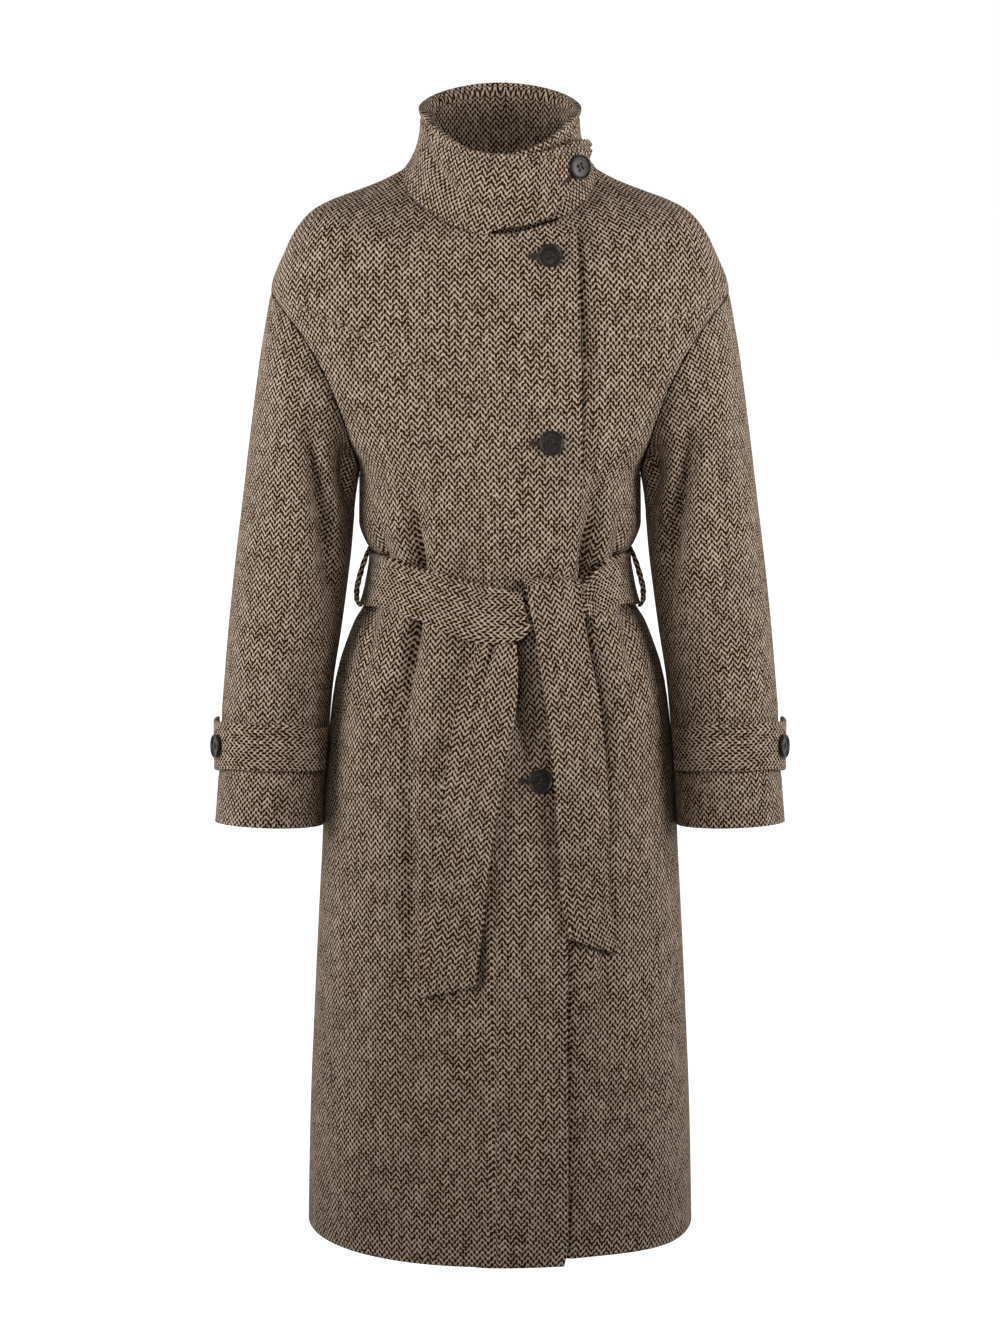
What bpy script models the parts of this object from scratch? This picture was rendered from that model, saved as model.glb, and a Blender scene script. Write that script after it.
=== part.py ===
# Belted coat of herringbone tweed, worn shape with nobody in it.
# Metres, +Z up. The front faces -Y, +X is the wearer's left, and the origin is
# the middle of the neck at the height of the shoulder seams.

import bisect
import math

import bmesh
import bpy
from mathutils import Vector

for old in list(bpy.data.objects):
    bpy.data.objects.remove(old, do_unlink=True)

# Driving sizes
WALL = 0.0025           # coating cloth, one layer with its interlining
COLLAR_WALL = 0.005     # two layers and canvas
BAND_WALL = 0.004       # belt and straps, two layers
LINING_WALL = 0.001
SEAM = 0.0004           # distance between two panels at a seam
CLEAR = 0.001           # air between a panel and what lies on it
BELT_CLEAR = 0.0015     # the same under the belt, where the waist curves most
LAP = WALL + CLEAR      # the over front stands this far out
ROUNDNESS = 2.2         # exponent of a body section, 2 is an ellipse
HEM_OVER = -1.083
HEM_UNDER = -1.077
HEM_BACK = -1.081
HEM_DROP = 0.0075       # the under front's hem falls this much towards the side seam
BUTTON_RADIUS = 0.0125
BUTTON_HEIGHT = 0.0042

# Body sections from neck to hem. Each row gives the depth and height of the
# front, the half width and height of the side, and the depth and height of the
# back. bend is the power of the cosine that carries the height from side to front.
BODY_COLUMNS = ("front_y", "front_z", "side_x", "side_z", "back_y", "back_z", "bend")
BODY = (
    (0.0780, -0.056, 0.0976, 0.0068, 0.0700, 0.018, 1.0),
    (0.0880, -0.075, 0.1177, -0.0031, 0.0800, 0.006, 1.3),
    (0.0960, -0.098, 0.1440, -0.0131, 0.0900, -0.010, 1.6),
    (0.1030, -0.122, 0.1712, -0.0231, 0.0980, -0.030, 1.9),
    (0.1090, -0.143, 0.1895, -0.0331, 0.1040, -0.050, 2.0),
    (0.1140, -0.165, 0.2068, -0.0531, 0.1100, -0.075, 2.0),
    (0.1180, -0.185, 0.2171, -0.0731, 0.1150, -0.098, 2.0),
    (0.1225, -0.215, 0.2315, -0.1143, 0.1210, -0.135, 2.0),
    (0.1255, -0.243, 0.2200, -0.1600, 0.1250, -0.175, 2.0),
    (0.1280, -0.266, 0.2000, -0.2000, 0.1260, -0.210, 2.0),
    (0.1300, -0.292, 0.1690, -0.2500, 0.1240, -0.255, 2.0),
    (0.1310, -0.318, 0.1435, -0.3000, 0.1190, -0.300, 2.0),
    (0.1300, -0.353, 0.1440, -0.3470, 0.1110, -0.345, 2.0),
    (0.1270, -0.380, 0.1375, -0.3670, 0.1070, -0.363, 2.0),
    (0.1215, -0.400, 0.1285, -0.3810, 0.1035, -0.376, 2.0),
    (0.1220, -0.426, 0.1325, -0.4090, 0.1040, -0.403, 2.0),
    (0.1245, -0.450, 0.1390, -0.4330, 0.1080, -0.428, 2.0),
    (0.1290, -0.468, 0.1495, -0.4510, 0.1150, -0.447, 2.0),
    (0.1335, -0.487, 0.1580, -0.4720, 0.1230, -0.470, 2.0),
    (0.1370, -0.504, 0.1650, -0.4925, 0.1300, -0.4925, 2.0),
    (0.1395, -0.520, 0.1698, -0.5130, 0.1360, -0.513, 2.0),
    (0.1435, -0.557, 0.1755, -0.5550, 0.1440, -0.555, 2.0),
    (0.1480, -0.618, 0.1812, -0.6180, 0.1510, -0.618, 2.0),
    (0.1520, -0.682, 0.1843, -0.6820, 0.1560, -0.682, 2.0),
    (0.1560, -0.746, 0.1880, -0.7460, 0.1610, -0.746, 2.0),
    (0.1630, -0.853, 0.1937, -0.8530, 0.1680, -0.853, 2.0),
    (0.1700, -0.961, 0.1988, -0.9610, 0.1740, -0.961, 2.0),
    (0.1760, -1.080, 0.2020, -1.0800, 0.1780, -1.080, 2.0),
    (0.1765, -1.100, 0.2025, -1.1000, 0.1785, -1.100, 2.0),
)
TIP_ROW = 7             # the shoulder seam ends here and the armhole begins
UNDERARM_ROW = 11
WAIST_END_ROW = 19      # below it the skirt hangs nearly straight
ARMHOLE_DIP = math.radians(25)      # how far the armhole swings in from the side
ARMHOLE_STEPS = 9

# Edge of the over front: its distance from the centre line at each height
OVER_EDGE = ((-0.054, 0.046), (-0.060, 0.062), (-0.070, 0.0735), (-0.085, 0.0770),
             (-0.250, 0.0795), (-0.410, 0.0775), (-0.560, 0.0720), (-0.750, 0.0666),
             (-1.068, 0.0676), (-1.085, 0.0630))
UNDER_EDGE = -0.005     # inner edge of the under front
LAP_START = -0.032      # the over front begins to rise here
LAP_FULL = -0.009

# Folds: a trough from one point of the front to another, with its depth,
# half width and the share of its length over which it dies away.
FOLD_COLUMNS = ("x0", "z0", "x1", "z1", "depth", "half_width")
FOLDS = (
    (-0.0860, -0.285, -0.0780, -0.400, 0.0075, 0.012),
    (0.0975, -0.290, 0.0840, -0.400, 0.0090, 0.012),
    (-0.1205, -0.340, -0.1140, -0.395, 0.0050, 0.008),
    (0.1205, -0.335, 0.1160, -0.395, 0.0050, 0.008),
    (-0.0840, -0.440, -0.0990, -0.540, 0.0070, 0.013),
    (0.0830, -0.430, 0.1080, -0.620, 0.0085, 0.014),
    (0.0140, -0.450, 0.0260, -0.570, 0.0050, 0.015),
)

# Sleeve sections: outer and inner point, middle depth, half depth and how much higher the front is
SLEEVE_COLUMNS = ("outer_x", "outer_z", "inner_x", "inner_z", "middle_y", "half_y", "front_rise")
SLEEVE = (
    (0.2436, -0.184, 0.1470, -0.3220, -0.003, 0.083, 0.000),
    (0.2535, -0.255, 0.1492, -0.3480, -0.005, 0.079, 0.000),
    (0.2625, -0.327, 0.1518, -0.3778, -0.009, 0.076, 0.001),
    (0.2701, -0.3878, 0.1560, -0.4123, -0.014, 0.073, 0.002),
    (0.2768, -0.4493, 0.1621, -0.4566, -0.019, 0.071, 0.004),
    (0.2822, -0.5107, 0.1705, -0.5107, -0.025, 0.070, 0.005),
    (0.2855, -0.5518, 0.1744, -0.5518, -0.029, 0.069, 0.006),
    (0.2891, -0.6137, 0.1792, -0.6150, -0.033, 0.069, 0.007),
    (0.2922, -0.653, 0.1814, -0.6570, -0.036, 0.070, 0.008),
)
SLEEVE_TROUGH_AT = math.radians(84)     # round from the outer side towards the front
SLEEVE_TROUGH_SWING = 3.55              # it swings inwards by this angle for each metre down the sleeve
SLEEVE_TROUGH_SPREAD = 0.25
SLEEVE_TROUGH = 0.008

# Collar: top ring, and the over end given by height share, angle past the front
COLLAR_FRONT = (0.0850, 0.0234)
COLLAR_SIDE = (0.0800, 0.0690)
COLLAR_BACK = (0.0780, 0.0945)
COLLAR_START = -3.0
COLLAR_LIFT = (315.0, 350.0)
COLLAR_END = ((0.0, 393.0), (0.15, 401.0), (0.4, 413.0), (0.7, 430.0), (0.85, 433.0), (1.0, 424.0))
COLLAR_DROP = ((360.0, 0.0), (370.0, 0.002), (395.0, 0.010), (415.0, 0.017), (424.0, 0.023), (433.0, 0.031))
COLLAR_SLIT = 0.003     # the over end stands off the lapped front's neck edge
TAB_STAND_OFF = 0.009

# Belt edges by angle round the body: top and bottom height
BELT = (
    (-374.0, -0.4085, -0.4430), (-366.0, -0.4020, -0.4530), (-353.0, -0.3970, -0.4550),
    (-339.0, -0.3900, -0.4460), (-322.0, -0.3837, -0.4345), (-306.0, -0.3775, -0.4265),
    (-270.0, -0.3790, -0.4320), (-180.0, -0.3740, -0.4260), (-90.0, -0.3790, -0.4320),
    (-60.0, -0.3765, -0.4240), (-45.0, -0.3825, -0.4275), (-40.5, -0.3900, -0.4300),
    (-37.0, -0.3990, -0.4320), (-17.5, -0.3995, -0.4340),
)
BELT_END = -373.0
BELT_END_SLANT = 4.0
CROSSING_RISE = (-0.075, -0.042)        # the over stretch rises to the second layer here

# Belt tails: height, left edge and right edge as seen from the front
TAIL_RIGHT = ((-0.424, -0.0230, 0.0120), (-0.4526, -0.0265, 0.0135), (-0.4945, -0.0380, 0.0167),
              (-0.5600, -0.0485, 0.0080), (-0.6550, -0.0600, -0.0075), (-0.7190, -0.0690, -0.0145),
              (-0.7950, -0.0790, -0.0240))
TAIL_RIGHT_SLANT = (-0.0150, 0.0)       # how much lower its left and right corner hang
TAIL_LEFT = ((-0.398, 0.0222, 0.0745), (-0.4220, 0.0270, 0.0784), (-0.4450, 0.0318, 0.0830),
             (-0.5114, 0.0405, 0.0955), (-0.5950, 0.0485, 0.0995), (-0.6685, 0.0546, 0.1025),
             (-0.7326, 0.0617, 0.1115), (-0.7490, 0.0650, 0.1170))
TAIL_LEFT_SLANT = (0.0, -0.0215)
HOOK_RADIUS = 0.007                     # the left tail turns over the belt's top edge

# Belt loop, outer line at the side seam
LOOP = ((0.1402, -0.3690), (0.1420, -0.3830), (0.1456, -0.4050), (0.1478, -0.4200), (0.1475, -0.4330),
        (0.1478, -0.4420))
LOOP_WIDTH = 0.006
LOOP_WALL = 0.0054
LOOP_FULL_TO = 0.8                      # below this share of its length the belt leaves it no room
LOOP_END_SHARE = 0.45                   # its ends are pressed flat to this share of the wall

# Cuff strap on the sleeve: round from near the inner seam to past the outer side
STRAP_FROM = math.radians(160)
STRAP_TO = math.radians(-14)
STRAP_CLEAR = 0.0007
STRAP_TOP = -0.5413                     # at the front of the sleeve
STRAP_BOTTOM = -0.5897
STRAP_OUTER_DROOP = (0.0075, 0.0100)    # its top and bottom hang lower at the outer end
STRAP_INNER_DROOP = (0.0110, 0.0060)    # and at the inner end
STRAP_LIFT = 0.0040                     # the upper outer corner stands off

# Buttons on the front by height and distance from the centre line
FRONT_BUTTONS = ((-0.0773, 0.0496), (-0.2567, 0.0501), (-0.5906, 0.0397))
COLLAR_BUTTON = (414.0, 0.55)
COLLAR_BUTTON_TILT = 0.25    # its shank lets it lean this far towards the front
COLLAR_BUTTON_SHANK = 0.0007
CUFF_BUTTON = math.radians(24)

CLOTH = ("tweed", (0.150, 0.098, 0.068, 1.0), 0.92)
SATIN = ("lining_satin", (0.250, 0.240, 0.235, 1.0), 0.40)
HORN = ("button_plastic", (0.022, 0.015, 0.012, 1.0), 0.32)


def limited_slope(xs, ys, k):
    # Slope at a row, kept small enough that the curve never swings past its rows
    if k == 0:
        return (ys[1] - ys[0]) / (xs[1] - xs[0])
    if k == len(xs) - 1:
        return (ys[k] - ys[k - 1]) / (xs[k] - xs[k - 1])
    before = (ys[k] - ys[k - 1]) / (xs[k] - xs[k - 1])
    after = (ys[k + 1] - ys[k]) / (xs[k + 1] - xs[k])
    if before * after <= 0:
        return 0.0
    return 2 * before * after / (before + after)


def curve(xs, ys, x):
    # Cubic through the rows of a table
    i = min(max(bisect.bisect_right(xs, x) - 1, 0), len(xs) - 2)
    step = xs[i + 1] - xs[i]
    t = (x - xs[i]) / step
    m0 = limited_slope(xs, ys, i) * step
    m1 = limited_slope(xs, ys, i + 1) * step
    return ((2 * t ** 3 - 3 * t ** 2 + 1) * ys[i] + (t ** 3 - 2 * t ** 2 + t) * m0
            + (3 * t ** 2 - 2 * t ** 3) * ys[i + 1] + (t ** 3 - t ** 2) * m1)


def table_curve(table, x, column=1):
    rows = sorted(table)
    return curve([row[0] for row in rows], [row[column] for row in rows], x)


def ease(start, end, x):
    t = min(max((x - start) / (end - start), 0.0), 1.0)
    return t * t * (3 - 2 * t)


def spread(start, end, steps):
    return [start + (end - start) * k / steps for k in range(steps + 1)]


# Body surface by angle (0 is the front, +90 degrees the wearer's left) and by v,
# the length down the side line
body_v = [0.0]
for upper, lower in zip(BODY, BODY[1:]):
    body_v.append(body_v[-1] + math.hypot(lower[2] - upper[2], lower[3] - upper[3]))
body_lists = list(zip(*BODY))
V_TIP = body_v[TIP_ROW]
V_UNDERARM = body_v[UNDERARM_ROW]


def fold_depth(x, z):
    depth = 0.0
    for x0, z0, x1, z1, deep, half_width in FOLDS:
        length = math.hypot(x1 - x0, z1 - z0)
        along = ((x - x0) * (x1 - x0) + (z - z0) * (z1 - z0)) / length
        across = ((x - x0) * (z1 - z0) - (z - z0) * (x1 - x0)) / length
        share = along / length
        if 0 < share < 1:
            fade = math.sin(math.pi * share) ** 0.8
            depth += deep * fade * math.exp(-(across / half_width) ** 2)
    return depth


def body(angle, v, out=0.0, folded=True):
    front_y, front_z, side_x, side_z, back_y, back_z, bend = (curve(body_v, column, v) for column in body_lists)
    s, c = math.sin(angle), math.cos(angle)
    deep, far_z = (front_y, front_z) if c >= 0 else (back_y, back_z)
    radius = (abs(s / side_x) ** ROUNDNESS + abs(c / deep) ** ROUNDNESS) ** (-1 / ROUNDNESS)
    z = side_z + (far_z - side_z) * abs(c) ** bend
    radius += out
    if folded and c > 0:
        radius -= fold_depth(radius * s, z)
    return Vector((radius * s, -radius * c, z))


def angle_at(x, v):
    # Angle at which the section's front passes a given distance from the centre
    low, high = -math.pi / 2, math.pi / 2
    for _ in range(40):
        middle = (low + high) / 2
        low, high = (middle, high) if body(middle, v, folded=False).x < x else (low, middle)
    return (low + high) / 2


def v_at(angle, z):
    low, high = body_v[0], body_v[-1]
    for _ in range(40):
        middle = (low + high) / 2
        low, high = (middle, high) if body(angle, middle, folded=False).z > z else (low, middle)
    return (low + high) / 2


def surface_normal(point, a, b, step_a, step_b):
    along = point(a + step_a, b) - point(a - step_a, b)
    down = point(a, b + step_b) - point(a, b - step_b)
    return down.cross(along).normalized()


def lap_lift(x):
    return LAP * ease(LAP_START, LAP_FULL, x)


def lap_cover(x):
    # What lies over both fronts keeps the lap's height a little past its edge
    return lap_lift(x) * (1 - ease(0.082, 0.112, x))


def front_place(x, z, out):
    # Point over the front at a distance from the centre and a height
    v = v_at(math.asin(max(-1.0, min(1.0, x / 0.16))), z)
    for _ in range(3):
        angle = angle_at(x, v)
        v = v_at(angle, z)
    return body(angle, v, out + lap_cover(x), folded=False)


# Objects
materials = {}


def material(kind):
    name, colour, roughness = kind
    if name not in materials:
        made = bpy.data.materials.new(name)
        made.use_nodes = True
        shader = made.node_tree.nodes["Principled BSDF"]
        shader.inputs["Base Color"].default_value = colour
        shader.inputs["Roughness"].default_value = roughness
        shader.inputs["Metallic"].default_value = 0.0
        materials[name] = made
    return materials[name]


def finish(name, mesh_data, kind):
    mesh = bpy.data.meshes.new(name)
    mesh_data.to_mesh(mesh)
    mesh_data.free()
    mesh.materials.append(material(kind))
    made = bpy.data.objects.new(name, mesh)
    bpy.context.scene.collection.objects.link(made)
    return made


def sheet(name, columns, rows, place, facing, wall, kind=CLOTH, closed=False):
    # A grid of columns and rows laid out by place, then given its wall inwards.
    # facing returns the outward normal at the same column and row.
    made = bmesh.new()
    bmesh.ops.create_grid(made, x_segments=columns, y_segments=rows, size=1.0)
    column_of = made.verts.layers.int.new("column")
    row_of = made.verts.layers.int.new("row")
    for vert in made.verts:
        vert[column_of] = round((vert.co.x + 1) / 2 * columns)
        vert[row_of] = round((vert.co.y + 1) / 2 * rows)
        vert.co = place(vert[column_of], vert[row_of])
    if closed:
        bmesh.ops.remove_doubles(made, verts=made.verts[:], dist=0.00001)
    grown = bmesh.ops.extrude_face_region(made, geom=made.faces[:])["geom"]
    for vert in grown:
        if isinstance(vert, bmesh.types.BMVert):
            vert.co -= facing(vert[column_of], vert[row_of]) * wall
    bmesh.ops.recalc_face_normals(made, faces=made.faces[:])
    return finish(name, made, kind)


# Panels. Rows run from the neck to the hem and share the armhole's steps with the sleeve.
def armhole_v(share):
    return V_TIP + (V_UNDERARM - V_TIP) * (1 - math.cos(math.pi * share)) / 2


def panel_rows(hem):
    armhole = [armhole_v(k / ARMHOLE_STEPS) for k in range(ARMHOLE_STEPS + 1)]
    rows = spread(body_v[0], V_TIP, 6)[:-1] + armhole[:-1]
    for row in range(UNDERARM_ROW, WAIST_END_ROW):
        rows += spread(body_v[row], body_v[row + 1], 2)[:-1]
    return rows + spread(body_v[WAIST_END_ROW], v_at(0.0, hem), 8)


def side_angle(v):
    # The panel's outer edge: shoulder seam, armhole, then side seam
    share = (v - V_TIP) / (V_UNDERARM - V_TIP)
    edge = math.pi / 2
    if 0 < share < 1:
        edge -= ARMHOLE_DIP * math.sin(math.acos(1 - 2 * share))
    return edge


def inset_angle(v):
    edge = side_angle(v)
    return edge - SEAM / 2 / body(edge, v).xy.length


def over_edge_angle(v):
    z = body(0.4, v, folded=False).z
    return angle_at(table_curve(OVER_EDGE, max(-1.085, min(-0.054, z))), v)


def over_front(angle, v):
    base = body(angle, v)
    return base + surface_normal(body, angle, v, 0.04, 0.0005) * lap_lift(base.x)


def hem_drop(angle, v, v_hem):
    # How much further down the skirt a point lies where the hem falls towards the side
    skirt = body_v[WAIST_END_ROW]
    return HEM_DROP * ease(0.45, 1.2, angle) * max(0.0, v - skirt) / (v_hem - skirt)


def front_panel(name, angles_of, hem, lifted):
    rows = panel_rows(hem)
    angles = [angles_of(v) for v in rows]

    point = over_front if lifted else body

    def spot(column, row):
        angle, v = angles[row][column], rows[row]
        return angle, v if lifted else v + hem_drop(angle, v, rows[-1])

    def place(column, row):
        return point(*spot(column, row))

    def facing(column, row):
        return surface_normal(point, *spot(column, row), 0.04, 0.0005)

    sheet(name, len(angles[0]) - 1, len(rows) - 1, place, facing, WALL)


LAP_STEPS = 6
SIDE_STEPS = 10


def right_angles(v):
    inner = angle_at(UNDER_EDGE, v)
    return spread(-inset_angle(v), inner, SIDE_STEPS)[:-1] + spread(inner, over_edge_angle(v), LAP_STEPS)


def left_angles(v):
    inner, edge = angle_at(UNDER_EDGE, v), over_edge_angle(v)
    return spread(inner, edge, LAP_STEPS)[:-1] + spread(edge, inset_angle(v), SIDE_STEPS - 1)


def back_panel():
    rows = panel_rows(HEM_BACK)
    columns = 18

    def angle(column, row):
        edge = math.pi / 2 + (math.pi / 2 - inset_angle(rows[row]))
        return edge + (2 * math.pi - 2 * edge) * column / columns

    def place(column, row):
        return body(angle(column, row), rows[row])

    def facing(column, row):
        return surface_normal(body, angle(column, row), rows[row], 0.04, 0.0005)

    sheet("back", columns, len(rows) - 1, place, facing, WALL)


def back_neck_lining():
    angles = spread(math.radians(130), math.radians(230), 10)
    rows = spread(0.003, 0.030, 2)

    def place(column, row):
        angle, v = angles[column], rows[row]
        return body(angle, v) - surface_normal(body, angle, v, 0.04, 0.0005) * (WALL + CLEAR)

    def facing(column, row):
        return surface_normal(body, angles[column], rows[row], 0.04, 0.0005)

    sheet("lining_back_neck", 10, 2, place, facing, LINING_WALL, SATIN)


# Sleeves, worked out for the wearer's left and mirrored for the right
sleeve_v = [0.0, 0.07]
for upper, lower in zip(SLEEVE, SLEEVE[1:]):
    sleeve_v.append(sleeve_v[-1] + math.hypot(lower[0] - upper[0], lower[1] - upper[1]))


def armhole(turn):
    # turn runs from the shoulder tip round the front to the underarm and back
    share = abs((turn + math.pi) % (2 * math.pi) - math.pi) / math.pi
    v = armhole_v(share)
    angle = side_angle(v)
    if math.sin(turn) < 0:
        angle = math.pi - angle
    return body(angle, v, folded=False)


def sleeve_ring(row, turn):
    if row == 0:
        return armhole(turn)
    outer_x, outer_z, inner_x, inner_z, middle_y, half_y, front_rise = SLEEVE[row - 1]
    across = math.cos(turn)
    return Vector(((outer_x + inner_x) / 2 + across * (outer_x - inner_x) / 2,
                   middle_y - math.sin(turn) * half_y,
                   (outer_z + inner_z) / 2 + across * (outer_z - inner_z) / 2 + front_rise * math.sin(turn)))


def sleeve(turn, v, out=0.0):
    rings = [sleeve_ring(row, turn) for row in range(len(sleeve_v))]
    place = Vector(curve(sleeve_v, axis, v) for axis in zip(*rings))
    across = [sleeve_ring(row, turn + math.pi) for row in range(len(sleeve_v))]
    middle = (place + Vector(curve(sleeve_v, axis, v) for axis in zip(*across))) / 2
    swing = math.remainder(turn - SLEEVE_TROUGH_AT - SLEEVE_TROUGH_SWING * v, 2 * math.pi)
    along = ease(0.0, 0.08, v) * (1 - ease(0.22, 0.36, v))
    trough = SLEEVE_TROUGH * math.exp(-(swing / SLEEVE_TROUGH_SPREAD) ** 2) * along
    return place + (place - middle).normalized() * (out - trough)


def mirrored(place, side):
    return Vector((place.x * side, place.y, place.z))


def sleeve_tube(name, side):
    turns = spread(0.0, 2 * math.pi, 2 * ARMHOLE_STEPS)
    rows = spread(SEAM * 1.6, 0.07, 3)[:-1] + spread(0.07, sleeve_v[-1], 12)

    def place(column, row):
        return mirrored(sleeve(turns[column % (2 * ARMHOLE_STEPS)], rows[row]), side)

    def facing(column, row):
        v = max(rows[row], 0.004)
        normal = surface_normal(sleeve, turns[column], v, 0.01, 0.002)
        return mirrored(-normal, side)

    sheet(name, 2 * ARMHOLE_STEPS, len(rows) - 1, place, facing, WALL, closed=True)


def sleeve_v_at(turn, z):
    low, high = 0.0, sleeve_v[-1]
    for _ in range(40):
        middle = (low + high) / 2
        low, high = (middle, high) if sleeve(turn, middle).z > z else (low, middle)
    return (low + high) / 2


def strap_z(turn, share):
    outer = ease(math.radians(60), 0.0, turn)
    inner = ease(math.radians(100), STRAP_FROM, turn)
    top = STRAP_TOP - STRAP_OUTER_DROOP[0] * outer - STRAP_INNER_DROOP[0] * inner
    bottom = STRAP_BOTTOM - STRAP_OUTER_DROOP[1] * outer - STRAP_INNER_DROOP[1] * inner
    return top + (bottom - top) * share


def on_strap(turn, share):
    lift = STRAP_LIFT * (1 - share) * ease(math.radians(40), STRAP_TO, turn)
    return sleeve(turn, sleeve_v_at(turn, strap_z(turn, share)), STRAP_CLEAR + BAND_WALL + lift)


def cuff_strap(name, side):
    turns = spread(STRAP_FROM, 0.0, 16) + [STRAP_TO]

    def place(column, row):
        return mirrored(on_strap(turns[column], row / 3), side)

    def facing(column, row):
        turn = turns[column]
        return mirrored(-surface_normal(sleeve, turn, sleeve_v_at(turn, strap_z(turn, row / 3)), 0.01, 0.002), side)

    sheet(name, len(turns) - 1, 3, place, facing, BAND_WALL)


# Collar, one band that starts under the front and ends over it
def collar(degrees, share):
    angle = math.radians(degrees)
    s, c = math.sin(angle), math.cos(angle)
    base = body(angle, 0.0, folded=False)
    far_y, far_z = COLLAR_FRONT if c >= 0 else COLLAR_BACK
    side_x, side_z = COLLAR_SIDE
    top_radius = (abs(s / side_x) ** ROUNDNESS + abs(c / far_y) ** ROUNDNESS) ** (-1 / ROUNDNESS)
    top_z = side_z + (far_z - side_z) * (c * c if c >= 0 else abs(c) ** 1.3)
    over = ease(*COLLAR_LIFT, degrees)
    bottom_z = base.z + SEAM + COLLAR_SLIT * ease(334.0, 352.0, degrees)
    radius = top_radius + (base.xy.length - top_radius) * (1 - share) ** 3
    radius += over * (COLLAR_WALL + CLEAR)
    if degrees > 360:
        top_z -= table_curve(COLLAR_DROP, min(degrees, 433.0))
        radius += TAB_STAND_OFF * ease(392.0, 432.0, degrees)
    return Vector((radius * s, -radius * c, bottom_z + (top_z - bottom_z) * share))


def collar_band():
    rows, end_columns = 5, 7
    ring = spread(COLLAR_START, 90.0, 9)[:-1] + spread(90.0, 270.0, 18)[:-1]
    ring += spread(270.0, 360.0 + COLLAR_START, 9)

    def spot(column, row):
        share = row / rows
        past = column - len(ring) + 1
        if past <= 0:
            return ring[column], share
        return ring[-1] + (table_curve(COLLAR_END, share) - ring[-1]) * past / end_columns, share

    def place(column, row):
        return collar(*spot(column, row))

    def facing(column, row):
        degrees, share = spot(column, row)
        normal = -surface_normal(collar, degrees, share, 0.3, 0.02)
        if row == 0:
            # The seam edge is level, so that it stays clear of the panels
            normal = Vector((normal.x, normal.y, 0)).normalized()
        return normal

    sheet("collar", len(ring) - 1 + end_columns, rows, place, facing, COLLAR_WALL)


# Belt, from the over stretch round the back to the under stretch
LAYER_ONE = BELT_CLEAR + BAND_WALL
LAYER_TWO = LAYER_ONE + CLEAR + BAND_WALL


def belt():
    over = spread(BELT_END, -330.0, 8)
    angles = over[:-1] + spread(-330.0, -30.0, 34)[:-1] + spread(-30.0, -17.5, 2)

    def slanted(column, row):
        # The over end is cut along the edge of the tail beside it
        near_end = max(0.0, 1 - column / 4)
        return angles[column] + near_end * BELT_END_SLANT * (1 - row / 3)

    def band(degrees, share):
        angle = math.radians(-degrees)
        top, bottom = table_curve(BELT, degrees, 1), table_curve(BELT, degrees, 2)
        v = v_at(angle, top + (bottom - top) * share)
        flat = body(angle, v, folded=False)
        out = LAYER_ONE
        if flat.y < 0:
            out += lap_cover(flat.x)
        if degrees < -300:
            out += (LAYER_TWO - LAYER_ONE) * ease(*CROSSING_RISE, flat.x)
        return body(angle, v, out, folded=False)

    def place(column, row):
        return band(slanted(column, row), row / 3)

    def facing(column, row):
        return -surface_normal(band, slanted(column, row), row / 3, 0.2, 0.02)

    sheet("belt", len(angles) - 1, 3, place, facing, BAND_WALL)


# Belt tails. The right one hangs from under the crossing, the left one turns over the belt.
def tail_grid(table, slant, layer_of, hooked):
    rows = [row[0] for row in table]
    heights = spread(rows[0], rows[-1], 14)
    turns = [math.radians(a) for a in (112, 84, 56, 28)] if hooked else []

    def at(column, down):
        # down counts rows: the turns of the hook first, then the heights
        z = heights[0] + (heights[-1] - heights[0]) * max(0.0, down - len(turns)) / 14
        left, right = table_curve(table, z, 1), table_curve(table, z, 2)
        x = left + (right - left) * column / 4
        share = (heights[0] - z) / (heights[0] - heights[-1])
        out = layer_of(z)
        if hooked and down < len(turns):
            turn = math.radians(28) * (len(turns) - down)
            out += HOOK_RADIUS * (math.cos(turn) - 1)
            z += HOOK_RADIUS * math.sin(turn)
        z += share ** 3 * (slant[0] * (1 - column / 4) + slant[1] * column / 4)
        return front_place(x, z, out)

    return at, len(turns) + 14


def belt_tail(name, table, slant, layer_of, hooked=False):
    at, rows = tail_grid(table, slant, layer_of, hooked)

    def facing(column, row):
        return surface_normal(at, column, row, 0.05, 0.05)

    sheet(name, 4, rows, at, facing, BAND_WALL)


def right_layer(z):
    return LAYER_ONE


def left_layer(z):
    return LAYER_ONE + (LAYER_TWO - LAYER_ONE) * ease(-0.72, -0.63, z)


def belt_loop(name, side):
    line_x, line_z = zip(*LOOP)
    steps = [float(k) for k in range(len(LOOP))]

    def at(column, row):
        t = row / 2
        y = LOOP_WIDTH * (column / 2 - 0.5)
        return Vector((side * curve(steps, line_x, t), y, curve(steps, line_z, t)))

    def facing(column, row):
        last = 2 * (len(LOOP) - 1)
        full = math.sin(math.pi * min(1.0, row / last / LOOP_FULL_TO))
        share = LOOP_END_SHARE + (1 - LOOP_END_SHARE) * full
        return side * surface_normal(at, column, row, 0.1, 0.1) * share

    sheet(name, 2, 2 * (len(LOOP) - 1), at, facing, LOOP_WALL)


# Buttons
BUTTON_PROFILE = ((0.0, 0.0), (0.74, 0.0), (1.0, 0.30), (1.0, 0.70), (0.95, 0.95), (0.86, 1.0), (0.68, 0.72), (0.0, 0.64))
BUTTON_SIDES = 22
HOLE_RADIUS = 0.0011
HOLE_OFFSET = 0.0021


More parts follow.
